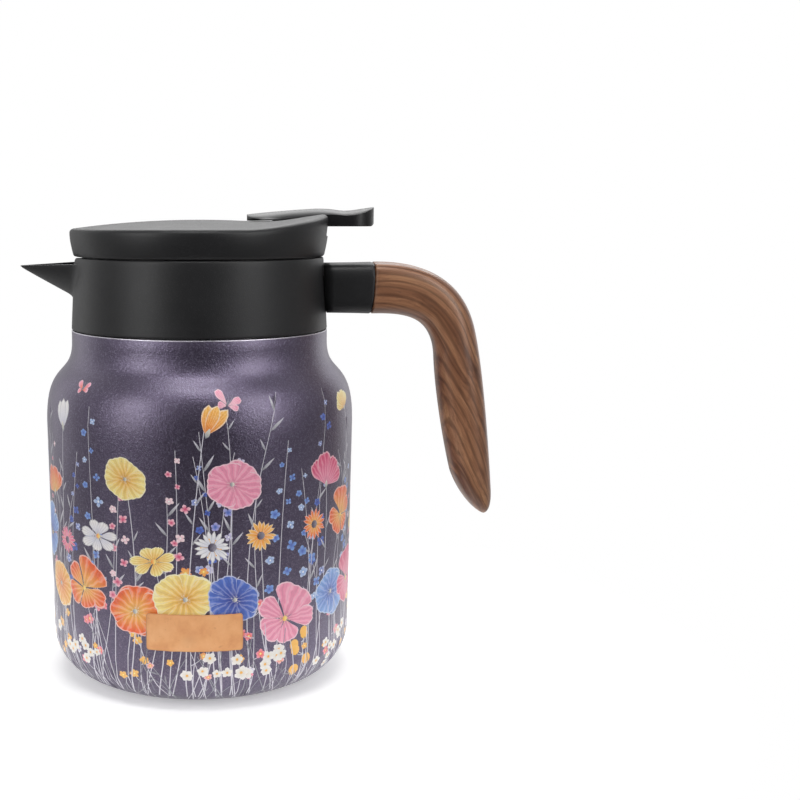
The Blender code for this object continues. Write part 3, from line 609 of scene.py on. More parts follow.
class Meadow:
    """Flat shapes in the body's unrolled plane, in millimetres. Later shapes lie over earlier ones."""

    def __init__(self, height_to_arc, seed):
        self.height_to_arc = height_to_arc
        self.shapes = []
        self.random = random.Random(seed)

    def point(self, angle, height):
        """Plane point of a place on the body: degrees from the front, and height above the table."""
        return Vector((math.radians(angle) * BODY_RADIUS, self.height_to_arc(height)))

    def add(self, outline, centre, length, width, direction, tones, veined=0.0, tilt=1.0, turn=0.0):
        """Lays one outline down along direction; tilt then flattens the flower and turn turns it."""
        spin = Matrix.Rotation(math.radians(turn), 2)
        flat = Matrix(((1.0, 0.0), (0.0, tilt)))
        aim = Matrix.Rotation(math.radians(direction), 2)
        size = Matrix(((length, 0.0), (0.0, width / 2)))
        change = spin @ flat @ aim @ size
        points = [centre + change @ Vector(p) for p in outline]
        self.shapes.append((points, centre.copy(), change.inverted(), tones, veined))

    def petal(self, outline, centre, length, width, direction, tones, veined=0.0, tilt=1.0, turn=0.0):
        """A petal with a fine line round it: paler than a coloured petal, and greyer than a white one."""
        line = between(tones[1], SHADE if min(tones[1]) > 0.6 else WHITE, 0.5)
        rim = RIM * min(1.6, max(0.7, length / 7))
        under = (between(tones[0], line, 0.6), line)
        self.add(outline, centre, length, width, direction, under, 0.0, tilt, turn)
        self.add(outline, centre, length - rim, width - 2 * rim, direction, tones, veined, tilt, turn)

    def stem(self, start, end, bend, width, tone):
        """A thin line that leaves the ground, bends sideways by the given length and tapers to its end."""
        across = Vector((end.y - start.y, start.x - end.x)).normalized()
        middle = (start + end) / 2 + across * bend
        steps = max(4, int((end - start).length / 7))
        path = [
            start * (1 - t) ** 2 + middle * 2 * t * (1 - t) + end * t * t
            for t in (i / steps for i in range(steps + 1))
        ]
        left, right = [], []
        for i, p in enumerate(path):
            step = (path[min(i + 1, steps)] - path[max(i - 1, 0)]).normalized()
            side = Vector((-step.y, step.x)) * width * (0.5 - 0.25 * i / steps)
            left.append(p + side)
            right.append(p - side)
        length = max((end - start).length, 1e-3)
        along = (end - start) / length
        aim = Matrix((along, Vector((-along.y, along.x)))).transposed()
        change = aim @ Matrix(((length, 0.0), (0.0, 1.0)))
        self.shapes.append((left + right[::-1], start.copy(), change.inverted(), (tone, tone), 0.0))
        return path

    def leaves(self, path, first, length, tones):
        """Narrow leaves in turn to the left and right of a stem, from a share of its length upwards."""
        for k in range(int(len(path) * first), len(path) - 1):
            step = path[k + 1] - path[k]
            heading = math.degrees(math.atan2(step.y, step.x))
            side = 1 if k % 2 else -1
            reach = length * (1.15 - 0.3 * k / len(path)) * self.random.uniform(0.75, 1.25)
            direction = heading + side * self.random.uniform(*LEAF_SPREAD)
            self.add(LEAF, path[k], reach, reach * 0.15, direction, tones, 0.3)

    def whorl(self, centre, radius, count, outline, width, tones, turn=0.0, tilt=1.0, lean=0.0, veined=0.6):
        """Petals all round a centre; every second one lies over its neighbours."""
        lay = self.petal if radius * 2 >= RIMMED_FROM else self.add
        for i in list(range(0, count, 2)) + list(range(1, count, 2)):
            direction = turn + 360 * i / count + self.random.uniform(-6, 6)
            length = radius * self.random.uniform(0.86, 1.1)
            spread = width * self.random.uniform(0.92, 1.08)
            lay(outline, centre, length, spread, direction, tones, veined, tilt, lean)

    def eye(self, centre, radius, tones, dots=0, dot_tone=None, lean=0.0, tilt=1.0):
        """The middle of a flower: a disc with stamens round it."""
        for i in range(dots):
            angle = math.radians(360 * i / dots + self.random.uniform(-14, 14))
            reach = radius * self.random.uniform(1.3, 2.6)
            offset = Matrix.Rotation(math.radians(lean), 2) @ Vector((
                math.cos(angle) * reach, math.sin(angle) * reach * tilt
            ))
            self.add(SLIM, centre, offset.length, radius * 0.14, math.degrees(math.atan2(offset.y, offset.x)),
                     (PLUM, dot_tone))
            dot = radius * 0.36
            self.add(SMALL_DOT, centre + offset - Vector((dot / 2, 0)), dot, dot, 0, (dot_tone, dot_tone))
        self.add(DOT, centre - Vector((radius, 0)), 2 * radius, 2 * radius, 0, tones)

    # Whole flowers. Each takes its centre in the plane, its width across and its two tones.

    def poppy(self, centre, size, tones, lean=0.0):
        """A loose flower at a slant: one broad petal stands up, two lie sideways and two come forwards."""
        petals = ((84, 0.6, 0.82), (16, 0.58, 0.36), (166, 0.54, 0.38), (-50, 0.4, 0.44), (230, 0.43, 0.48))
        for direction, reach, spread in petals:
            self.petal(FAN, centre, size * reach * self.random.uniform(0.94, 1.06), size * spread,
                       direction + self.random.uniform(-6, 6), tones, 1.0, 0.95, lean)
        self.eye(centre, size * 0.042, (GOLD, YELLOW), 9, YELLOW, lean, 0.8)

    def mallow(self, centre, size, tones, lean=0.0):
        """A wide-open pleated bowl of five petals that overlap all round."""
        self.whorl(centre, size / 2, 6, FAN, size * 0.6, tones, 74, 0.8, lean, 1.0)
        self.eye(centre, size * 0.04, (SAGE, CREAM), 8, CREAM, lean, 0.76)

    def cosmos(self, centre, size, tones, lean=0.0):
        self.whorl(centre, size / 2, 7, TOOTHED, size * 0.29, tones, 10, 0.66, lean, 1.0)
        self.eye(centre, size * 0.05, (ORANGE, YELLOW), 8, YELLOW, lean, 0.66)

    def daisy(self, centre, size, tones, lean=0.0):
        self.whorl(centre, size / 2, 17, SLIM, size * 0.13, tones, 0, 0.9, lean, 0.2)
        self.eye(centre, size * 0.12, (PLUM, SHADE), 6, GOLD)

    def simple(self, centre, size, tones, heart=YELLOW, petals=5):
        turn = self.random.uniform(0, 72)
        outline = ROUND if size >= RIMMED_FROM else SMALL
        self.whorl(centre, size / 2, petals, outline, size * 0.38, tones, turn, 0.88, 0.0, 0.6)
        if heart:
            dot = size * (0.2 if size < RIMMED_FROM else 0.12)
            self.add(SMALL_DOT, centre - Vector((dot / 2, 0)), dot, dot, 0, (heart, heart))

    def cup(self, centre, size, tones, lean=0.0):
        """A flower seen from the side: petals flare upwards from a narrow foot."""
        foot = centre - Vector((0, size * 0.3))
        for spread, length, width in ((-56, 0.56, 0.3), (52, 0.6, 0.32), (-22, 0.56, 0.4), (22, 0.62, 0.42)):
            self.petal(FAN, foot, size * length, size * width, 90 + spread + lean, tones, 1.0)
        sepal = foot - Vector((0, size * 0.06))
        self.add(LEAF, sepal, size * 0.16, size * 0.09, 90 + lean * 0.5, (SAGE, CREAM))

    def bud(self, centre, size, tones, lean=0.0):
        foot = centre - Vector((0, size * 0.45))
        for spread in (-19, 17, 0):
            length = size * self.random.uniform(0.9, 1.1)
            self.petal(ROUND, foot, length, size * 0.42, 90 + spread + lean, tones, 0.8)
        self.add(LEAF, foot - Vector((0, size * 0.12)), size * 0.36, size * 0.16, 90 + lean, (SAGE, CREAM))

    def spike(self, base, top, bend, size, tones, count):
        """Small blossoms in loose pairs up both sides of a stem, smaller towards its top."""
        path = self.stem(base, top, bend, 0.4, PALE_STEM)
        for i in range(count):
            t = 0.4 + 0.6 * i / count
            place = t * (len(path) - 1)
            k = min(int(place), len(path) - 2)
            on_stem = path[k].lerp(path[k + 1], place - k)
            shrink = (1.15 - 0.55 * (t - 0.4) / 0.6) * self.random.uniform(0.75, 1.2)
            side = (-1) ** i * self.random.uniform(0.15, 1.0)
            offset = Vector((side * size * shrink, self.random.uniform(-1.4, 1.4)))
            shown = tones if i % 3 else (tones[1], between(tones[1], WHITE, 0.5))
            self.simple(on_stem + offset, size * shrink, shown, WHITE if i % 3 == 0 else None, 4 + i % 2)

    def sprig(self, base, top, bend, tones, leaf, width=0.4):
        """A stem with narrow leaves along its upper part."""
        path = self.stem(base, top, bend, width, tones[1])
        self.leaves(path, self.random.uniform(0.5, 0.75), leaf, tones)

    def berries(self, base, top, bend, tones, size, count, petals=0):
        """A forked stem that carries round berries, or small blossoms if it is given a number of petals."""
        path = self.stem(base, top, bend, 0.4, PALE_STEM)
        for i in range(count):
            root = path[-1 - (i % min(5, len(path) - 1))]
            side = (-1) ** i
            tip = root + Vector((side * self.random.uniform(0.8, 5.0), self.random.uniform(0.6, 4.5)))
            self.stem(root, tip, side * 0.8, 0.3, PALE_STEM)
            width = size * self.random.uniform(0.85, 1.15)
            if petals:
                self.simple(tip, width, tones, YELLOW, petals)
            else:
                self.add(DOT, tip - Vector((width / 2, 0)), width, width, 60, tones)

    def butterfly(self, centre, size, tones, lean=0.0):
        """Two raised wings and two smaller ones below them, a thin body and feelers."""
        wings = ((112, 0.8, 0.34), (160, 0.4, 0.3), (16, 0.62, 0.32), (-26, 0.46, 0.26))
        for direction, length, width in wings:
            self.petal(FAN, centre, size * length, size * width, direction + lean, tones, 1.0)
        for turn in (50, 74):
            feeler = Matrix.Rotation(math.radians(turn + lean), 2) @ Vector((size * 0.5, 0))
            self.stem(centre, centre + feeler, 0.4, 0.25, SHADE)
        tail = centre - Vector((size * 0.08, size * 0.14))
        self.add(LEAF, tail, size * 0.4, size * 0.07, 62 + lean, (PLUM, SAGE))


def plant(m, flowers):
    """Lays down each (kind, angle, height, size, tones, lean)."""
    for kind, angle, height, size, tones, lean in flowers:
        if kind == "simple":
            m.simple(m.point(angle, height), size, tones)
        else:
            getattr(m, kind)(m.point(angle, height), size, tones, lean)


def tall_meadow(m):
    """Sprigs, spikes, berries and four staggered tiers of flowers all round, by a fixed random order."""
    dice = m.random
    colours = (
        (APRICOT, FLAME), (BLUE, SKY), (FROST, WHITE), (GOLD, YELLOW), (PINK, ROSE), (ORANGE, APRICOT),
        (NAVY, BLUE), (FROST, WHITE), (APRICOT, FLAME), (PINK, PINK), (GOLD, YELLOW),
    )
    spike_tones = ((NAVY, BLUE), (BLUE, SKY), (ROSE, BLUSH), (BLUE, LILAC))
    berry_tones = ((GOLD, APRICOT), (APRICOT, ORANGE), (FLAME, PINK))
    tiers = (
        (100, 116, ("bud", "cup"), 12, 3),
        (80, 95, ("poppy", "cup", "cosmos", "mallow"), 20, 2),
        (56, 70, ("cosmos", "simple", "poppy", "daisy"), 20, 1),
        (32, 45, ("mallow", "poppy", "mallow"), 22, 1),
    )
    flowers = []
    for i in range(MEADOW_COLUMNS):
        angle = MEADOW_TURN + i * 360 / MEADOW_COLUMNS
        for shift in (-5, 4):
            m.sprig(m.point(angle + shift, GROUND_Z), m.point(angle - shift, dice.uniform(58, 118)),
                    dice.uniform(-16, 16), (SAGE, PALE_STEM), dice.uniform(5.5, 7.5))
        for shift in (4, -3)[:1 + i % 2]:
            m.spike(m.point(angle + shift, GROUND_Z), m.point(angle + 2 * shift, dice.uniform(74, 117)),
                    dice.uniform(-12, 12), dice.uniform(3.8, 4.8), dice.choice(spike_tones), 13)
        m.berries(m.point(angle - 6, GROUND_Z), m.point(angle - 5, dice.uniform(20, 54)), dice.uniform(-4, 4),
                  dice.choice(berry_tones), 4.4, 6, dice.choice((0, 4, 5)))
        for k, (low, high, kinds, size, every) in enumerate(tiers):
            if (i + k) % every:
                continue
            kind = dice.choice(kinds)
            scale = 0.62 if kind in ("simple", "daisy") else 1.0
            where = angle + (k % 2) * 180 / MEADOW_COLUMNS + dice.uniform(-3, 3)
            flowers.append((kind, where, dice.uniform(low, high), size * scale * dice.uniform(0.9, 1.1),
                            colours[(3 * i + 4 * k) % len(colours)], dice.uniform(-30, 30)))
    for kind, angle, height, size, tones, lean in flowers:
        root = m.point(angle + dice.uniform(-8, 8), GROUND_Z)
        path = m.stem(root, m.point(angle, height), dice.uniform(-9, 9), 0.5, PALE_STEM)
        if height > 66:
            m.leaves(path[:-2], 0.62, 6.0, (SAGE, PALE_STEM))
    plant(m, flowers)
    for angle, height, size, tones, lean in BUTTERFLIES:
        m.butterfly(m.point(angle, height), size, tones, lean)


def foot_of_meadow(m):
    """Grass, small daisies and low clusters round the whole foot."""
    dice = m.random
    for i in range(160):
        angle = -178 + i * 2.23 + dice.uniform(-1, 1)
        top = m.point(angle + dice.uniform(-11, 11), dice.uniform(11, 38))
        bend, tone = dice.uniform(-5, 5), dice.choice((SAGE, PALE_STEM, DEEP_STEM))
        path = m.stem(m.point(angle, GRASS_ROOT_Z), top, bend, 0.42, tone)
        if i % 4 == 0:
            m.leaves(path, 0.4, 4.0, (DEEP_STEM, SAGE))
    for i in range(34):
        angle = -178 + i * 10.6 + dice.uniform(-4, 4)
        tones = dice.choice(((ORANGE, BLUSH), (GOLD, APRICOT), (LILAC, WHITE)))
        m.simple(m.point(angle, dice.uniform(11, 22)), dice.uniform(3, 4.4), tones)
    for middle in (-152, -118, -84, -52, 2, 24, 62, 96, 130, 162):
        for i in range(9):
            place = m.point(middle + dice.gauss(0, 6.5), dice.gauss(17.5, 3.2))
            m.simple(place, dice.uniform(3.8, 6.2), (CREAM, WHITE), GOLD, dice.choice((5, 5, 6)))


# ---------------------------------------------------------------- flask

def body_outline():
    """(r, z) down the outside of the printed shell, from under its corner up to the neck."""
    corner_r = CORNER_TOP_RADIUS - CORNER_RADIUS
    points = arc(corner_r, SHELL_BASE_Z + CORNER_RADIUS, CORNER_RADIUS, -90, 0, 14)
    corner_top = SHELL_BASE_Z + CORNER_RADIUS
    steps = 18
    for i in range(1, steps):
        t = i / steps
        z = corner_top + (BODY_WIDEST_Z - corner_top) * t
        points.append((CORNER_TOP_RADIUS + (BODY_RADIUS - CORNER_TOP_RADIUS) * t, z))
    rise = NECK_LOW_Z - BODY_WIDEST_Z
    points += bezier(
        (BODY_RADIUS, BODY_WIDEST_Z), (BODY_RADIUS, BODY_WIDEST_Z + 0.77 * rise),
        (NECK_RADIUS, NECK_LOW_Z - 0.47 * rise), (NECK_RADIUS, NECK_LOW_Z), 22,
    )
    points.append((NECK_RADIUS, NECK_STEP_Z - 0.4))
    return points


def make_flask(paint, steel):
    """The outer shell, with every printed petal cut into its surface as faces of its own."""
    outline = np.array(body_outline())
    arcs = np.concatenate(([0.0], np.cumsum(np.hypot(*np.diff(outline, axis=0).T))))
    meadow = Meadow(lambda z: float(np.interp(z, outline[:, 1], arcs)), MEADOW_SEED)
    tall_meadow(meadow)
    foot_of_meadow(meadow)

    half_turn = math.pi * BODY_RADIUS
    shapes = []
    for shape in meadow.shapes:
        shapes.append((shape, 0.0))
        reach = [p.x for p in shape[0]]
        if max(reach) > half_turn:
            shapes.append((shape, -2 * half_turn))
        if min(reach) < -half_turn:
            shapes.append((shape, 2 * half_turn))

    columns = [half_turn * (2 * i / BODY_COLUMNS - 1) for i in range(BODY_COLUMNS + 1)]
    points = [Vector((u, s)) for s in arcs for u in columns]
    row = BODY_COLUMNS + 1
    edges = [
        (j * row + end, (j + 1) * row + end) for j in range(len(arcs) - 1) for end in (0, BODY_COLUMNS)
    ]
    loops = []
    for (outline_points, *_), shift in shapes:
        first = len(points)
        ring = [p + Vector((shift, 0)) for p in outline_points]
        turning = sum(a.x * b.y - b.x * a.y for a, b in zip(ring, ring[1:] + ring[:1]))
        if turning < 0:
            ring.reverse()
        points += ring
        loops.append(list(range(first, len(points))))
    flat, _, triangles, _, _, owners = delaunay_2d_cdt(points, edges, loops, 0, 1e-4, True)

    where = np.array([(p.x, p.y) for p in flat])
    radius = np.interp(where[:, 1], arcs, outline[:, 0])
    height = np.interp(where[:, 1], arcs, outline[:, 1])
    angle = where[:, 0] / BODY_RADIUS
    vertices = np.stack((radius * np.sin(angle), -radius * np.cos(angle), height), axis=1) * MM

    faces, tops = [], []
    for triangle, owner in zip(triangles, owners):
        centre = sum(flat[i].x for i in triangle) / 3
        if abs(centre) < half_turn:
            faces.append(triangle)
            tops.append(max(owner) if owner else -1)

    ink = [0.0 if top < 0 else 1.0 for top in tops]
    tone_a, tone_b, petal = [], [], []
    for face, top in zip(faces, tops):
        if top < 0:
            tone_a += (0.0, 0.0, 0.0, 1.0)
            tone_b += (0.0, 0.0, 0.0, 1.0)
            petal += (0.0,) * 9
            continue
        (_, centre, to_petal, tones, veined), shift = shapes[top]
        tone_a += (*tones[0], 1.0)
        tone_b += (*tones[1], 1.0)
        for i in face:
            local = to_petal @ (flat[i] - centre - Vector((shift, 0)))
            petal += (local.x, local.y, veined)

    # The plain rest of the shell: base, step, spigot and the wall inside
    rest = [
        (NECK_RADIUS, NECK_STEP_Z - 0.4), (NECK_RADIUS - 0.12, NECK_STEP_Z - 0.12),
        (NECK_RADIUS - 0.4, NECK_STEP_Z), (SPIGOT_RADIUS, NECK_STEP_Z),
        (SPIGOT_RADIUS, SPIGOT_TOP_Z), (SPIGOT_RADIUS - STEEL_WALL, SPIGOT_TOP_Z),
        (SPIGOT_RADIUS - STEEL_WALL, NECK_STEP_Z - STEEL_WALL),
        (NECK_RADIUS - STEEL_WALL, NECK_STEP_Z - 2 * STEEL_WALL),
    ]
    rest += [(r - STEEL_WALL, max(z, SHELL_BASE_Z + STEEL_WALL)) for r, z in outline[-2:0:-3]]
    rest += [
        (BASE_OPENING_RADIUS, SHELL_BASE_Z + STEEL_WALL), (BASE_OPENING_RADIUS, SHELL_BASE_Z),
        tuple(outline[0]),
    ]
    first = len(vertices)
    ring_vertices = []
    for r, z in rest:
        for u in columns[:-1]:
            a = u / BODY_RADIUS
            ring_vertices.append((r * math.sin(a) * MM, -r * math.cos(a) * MM, z * MM))
    vertices = np.concatenate((vertices, np.array(ring_vertices)))
    for k in range(len(rest) - 1):
        for i in range(BODY_COLUMNS):
            j = (i + 1) % BODY_COLUMNS
            low, high = first + k * BODY_COLUMNS, first + (k + 1) * BODY_COLUMNS
            faces.append((low + i, low + j, high + j, high + i))
    mesh = bpy.data.meshes.new("flask_shell")
    mesh.from_pydata(vertices.tolist(), [], faces)

    corners = len(mesh.loops)
    count = len(mesh.polygons)
    mesh.attributes.new("ink", "FLOAT", "FACE").data.foreach_set("value", ink + [0.0] * (count - len(ink)))
    for name, values in (("tone_a", tone_a), ("tone_b", tone_b)):
        values += [0.0] * (4 * count - len(values))
        mesh.attributes.new(name, "FLOAT_COLOR", "FACE").data.foreach_set("color", values)
    petal += [0.0] * (3 * corners - len(petal))
    mesh.attributes.new("petal", "FLOAT_VECTOR", "CORNER").data.foreach_set("vector", petal)
    mesh.materials.append(paint)
    mesh.materials.append(steel)
    bare = [0] * count
    for i in range(len(ink) + 2 * BODY_COLUMNS, count - BODY_COLUMNS):
        bare[i] = 1
    mesh.polygons.foreach_set("material_index", bare)

    bm = bmesh.new()
    bm.from_mesh(mesh)
    bmesh.ops.remove_doubles(bm, verts=bm.verts, dist=2e-6)
    bmesh.ops.recalc_face_normals(bm, faces=bm.faces)
    bm.to_mesh(mesh)
    bm.free()
    mesh.shade_smooth()
    mesh.set_sharp_from_angle(angle=math.radians(40))
    return link_object("flask_shell", mesh)


# ---------------------------------------------------------------- collar and spout

def soft_step(value, low, high):
    """0 up to low and 1 from high on, with a smooth climb between them."""
    t = min(1.0, max(0.0, (value - low) / (high - low)))
    return t * t * (3 - 2 * t)


def smooth_max(a, b, blend):
    """The larger of two values, with a fillet of the given width where they are close."""
    h = min(1.0, max(0.0, 0.5 + 0.5 * (b - a) / blend))
    return a * (1 - h) + b * h + blend * h * (1 - h)


def spout_radius(angle, depth, inset):
    """How far from the axis the spout's surface is, in a direction from its own and a depth below its top."""
    low, high = 0.0, SPOUT_TIP
    for _ in range(26):
        r = (low + high) / 2
        across = abs(r * math.sin(angle)) / SPOUT_HALF_WIDTH
        share = (across ** SPOUT_POWER + (depth / SPOUT_DEPTH) ** SPOUT_POWER) ** (1 / SPOUT_POWER)
        ahead = SPOUT_TIP - SPOUT_REACH * (math.hypot(share, 0.05) + inset)
        if r * math.cos(angle) > ahead:
            high = r
        else:
            low = r
    return low


def collar_radius(z):
    share = (z - COLLAR_BASE_Z) / (COLLAR_TOP_Z - COLLAR_BASE_Z)
    return NECK_RADIUS + (COLLAR_TOP_RADIUS - NECK_RADIUS) * share


def notch_share(angle):
    """1 where the collar has its full height, falling to nearly 0 over the spout's mouth."""
    return 0.04 + 0.96 * soft_step(abs(math.degrees(angle)), *NOTCH_ANGLES)


def collar_section(angle):
    """Closed (r, z) outline of the collar in one direction, given in radians from the spout's."""
    side_base = COLLAR_BASE_Z + 0.35
    points = [
        (SPIGOT_RADIUS + 0.5, COLLAR_BASE_Z), (NECK_RADIUS - 0.35, COLLAR_BASE_Z),
        (NECK_RADIUS - 0.1, COLLAR_BASE_Z + 0.1), (NECK_RADIUS - 0.01, side_base),
    ]
    near = abs(angle) < math.radians(SPOUT_HALF_ANGLE)
    rows = 34
    for i in range(1, rows + 1):
        z = side_base + (SPOUT_TOP_Z - 0.3 - side_base) * i / rows
        r = collar_radius(z)
        if near:
            r = smooth_max(r, spout_radius(angle, SPOUT_TOP_Z - z, 0.0), SPOUT_FILLET)
        points.append((r, z))
    wall = collar_radius(SPOUT_TOP_Z)
    outer, inner = wall, wall
    if near:
        outer = smooth_max(wall, spout_radius(angle, 0.0, 0.0), SPOUT_FILLET)
        inner = max(wall, min(outer, spout_radius(angle, 0.0, SPOUT_WALL_SHARE)))
    rim = min(0.3, (outer - inner) / 3)
    shoulder_z = SPOUT_TOP_Z - 0.08 if outer > wall else SPOUT_TOP_Z
    points += [(outer - rim * 0.3, shoulder_z), (outer - rim, SPOUT_TOP_Z), (inner + rim, SPOUT_TOP_Z)]
    floor = 0.0
    if inner > wall:
        low, high = 0.0, SPOUT_DEPTH
        for _ in range(22):
            middle = (low + high) / 2
            if spout_radius(angle, middle, SPOUT_WALL_SHARE) > collar_radius(SPOUT_TOP_Z - middle):
                low = middle
            else:
                high = middle
        floor = low
    steps = 9
    for i in range(steps + 1):
        depth = floor * i / steps
        trough = spout_radius(angle, depth, SPOUT_WALL_SHARE)
        r = max(collar_radius(SPOUT_TOP_Z - depth), trough) if floor else wall
        points.append((r, SPOUT_TOP_Z - depth))
    for i in range(1, 4):
        z = SPOUT_TOP_Z - floor * (1 - i / 3)
        points.append((collar_radius(z), z))
    kept = notch_share(angle)
    crest = (
        (COLLAR_TOP_RADIUS + 0.03, 0.7), (COLLAR_TOP_RADIUS - 0.05, 0.35), (COLLAR_TOP_RADIUS - 0.25, 0.08),
        (COLLAR_TOP_RADIUS - 0.6, 0.0), (LID_SEAT_RADIUS + 0.3, 0.0), (LID_SEAT_RADIUS, 0.3),
    )
    points += [(r, LID_SEAT_Z + (COLLAR_TOP_Z - below - LID_SEAT_Z) * kept) for r, below in crest]
    points += [
        (LID_SEAT_RADIUS, LID_SEAT_Z), (COLLAR_BORE, LID_SEAT_Z), (COLLAR_BORE, COLLAR_SHELF_Z),
        (SPIGOT_RADIUS + 0.5, COLLAR_SHELF_Z),
    ]
    return points


def make_collar(plastic):
    near = [math.radians(SPOUT_HALF_ANGLE) * i / 44 for i in range(-44, 44)]
    far_span = 2 * math.pi - 2 * math.radians(SPOUT_HALF_ANGLE)
    far = [math.radians(SPOUT_HALF_ANGLE) + far_span * i / 150 for i in range(150)]
    sections = []
    for angle in near + far:
        turned = angle if angle <= math.pi else angle - 2 * math.pi
        section = []
        for r, z in collar_section(turned):
            x, y = -r * math.cos(angle), -r * math.sin(angle)
            fall = SPOUT_DROP * max(0.0, -x - COLLAR_TOP_RADIUS) / (SPOUT_TIP - COLLAR_TOP_RADIUS)
            section.append((x, y, z - fall))
        sections.append(section)
    collar = skin("collar_and_spout", sections, plastic, 38, loop=True)
    window = box_tool("window_tool", (-52, -38), (-9, 9), (COLLAR_SHELF_Z + 0.5, 158.8), 1.6)
    return carve(collar, window)


# ---------------------------------------------------------------- handle

def bowed(x, z):
    """Shifts a place near the joint of arm and grip: the joint bows towards the grip above its middle."""
    rise = (z - BRACKET_CENTRE_Z) / BRACKET_HALF_HEIGHT
    near = max(0.0, 1 - abs(x - BRACKET_END_X) / 8)
    return x - 0.7 * (rise - 0.45) ** 2 * near


def make_bracket(plastic):
    """The black arm: a rounded box bedded on the collar, swelling to a softly domed end, with its tenon."""
    rows = [(44.0, 0.965), (52.0, 0.975), (60.0, 0.985), (65.5, 0.997), (66.8, 1.0), (67.3, 0.992),
            (67.6, 0.965)]
    sections = []
    for x, scale in rows:
        outline = superellipse(HANDLE_HALF_WIDTH * scale, BRACKET_HALF_HEIGHT * scale, 4.6, 72)
        sections.append([(bowed(x, BRACKET_CENTRE_Z + z), y, BRACKET_CENTRE_Z + z) for y, z in outline])
    for x, half in ((67.6, TENON_HALF), (TENON_END_X - 0.6, TENON_HALF), (TENON_END_X, TENON_HALF - 0.5)):
        sections.append([(x, y, BRACKET_CENTRE_Z + z) for y, z in superellipse(half, half, 9, 72)])
    bracket = skin("bracket_arm", sections, plastic, 35, (True, True))
    bed_rows = []
    for z in (COLLAR_BASE_Z - 6, COLLAR_TOP_Z + 2):
        bed_rows.append([(x, y, z) for x, y in circle(collar_radius(z) + BED_GAP, 256)])
    return carve(bracket, skin("bed_tool", bed_rows, None, 35, (True, True)))


def grip_rows(outer_steps):
    """The grip's outer and inner edges as matched runs of points from the bracket to the tip."""
    tip = (112.6, 61.0)
    joint = BRACKET_END_X + GRIP_GAP
    outer = (
        ((joint, 160.7), (88.0, 161.2), (101.5, 153.6), (106.8, 137.6)),
        ((106.8, 137.6), (110.0, 127.5), (113.5, 100.0), (115.7, 71.0)),
        ((115.7, 71.0), (116.1, 66.0), (115.5, 61.2), tip),
    )
    inner = (
        ((joint, 140.9), (81.0, 141.2), (91.0, 139.0), (92.0, 124.5)),
        ((92.0, 124.5), (92.6, 112.0), (96.0, 92.0), (99.5, 78.0)),
        ((99.5, 78.0), (102.0, 71.0), (107.0, 63.5), tip),
    )
    runs = []
    for side in (outer, inner):
        run = [side[0][0]]
        for curve, count in zip(side, outer_steps):
            run += bezier(*curve, count)[1:]
        runs.append(run)
    return list(zip(*runs))


def make_grip(wood):
    steps = (30, 26, 22)
    pairs = grip_rows(steps)
    last = len(pairs) - 1
    taper_from = last - steps[2]
    count = 64
    sections, grain = [], []
    travelled = 0.0
    for i, (outer, inner) in enumerate(pairs[:-1]):
        outer, inner = Vector(outer), Vector(inner)
        centre, half = (outer + inner) / 2, (outer - inner) / 2
        if i:
            travelled += (centre - before).length
        before = centre
        power = 2.4 + 2.1 * max(0.0, 1 - i / steps[0])
        fade = max(0, i - taper_from) / (last - taper_from)
        width = (HANDLE_HALF_WIDTH - 0.48 * min(1.0, i / steps[0])) * math.sqrt(1 - fade ** 2)
        section = []
        for y, h in superellipse(width, 1.0, power, count):
            point = centre + half * h
            section.append((point.x, y, point.y))
            grain.append((travelled, y, h * half.length))
        sections.append(section)
    edge_scale = 0.965
    first = sections[0]
    middle = Vector((first[0][0], 0, BRACKET_CENTRE_Z))
    closing = [tuple(middle + (Vector(p) - middle) * edge_scale) for p in first]
    sections.insert(0, closing)
    sections[1] = [(x + 0.35, y, z) for x, y, z in sections[1]]
    sections = [[(bowed(x, z), y, z) for x, y, z in section] for section in sections]
    grain = [(0.0, y, z - BRACKET_CENTRE_Z) for _, y, z in closing] + grain
    tip = pairs[-1][0]
    sections.append([(tip[0], 0, tip[1])])
    grain.append((travelled, 0.0, 0.0))
    grip = skin("walnut_grip", sections, wood, 50, (True, False))
    layer = grip.data.attributes.new("grain", "FLOAT_VECTOR", "POINT")
    layer.data.foreach_set("vector", [c for g in grain for c in g])
    return grip


# ---------------------------------------------------------------- lid and lever

def tail_rise(x):
    """How far the lid's top and rim rise above their level towards the handle."""
    share = max(0.0, (x / 50 - LID_TAIL_START) / (1 - LID_TAIL_START))
    return LID_TAIL_RISE * share ** 1.6


def lid_top(x, y):
    """The dome, the rise of the tail, and the two cheeks that swell beside the lever."""
    cheek = CHEEK_RISE * soft_step(x, 30, 46) * max(0.0, 1 - (y / 22) ** 2)
    return LID_RIM_Z + LID_DOME * (1 - (x * x + y * y) / 2500) + tail_rise(x) + cheek


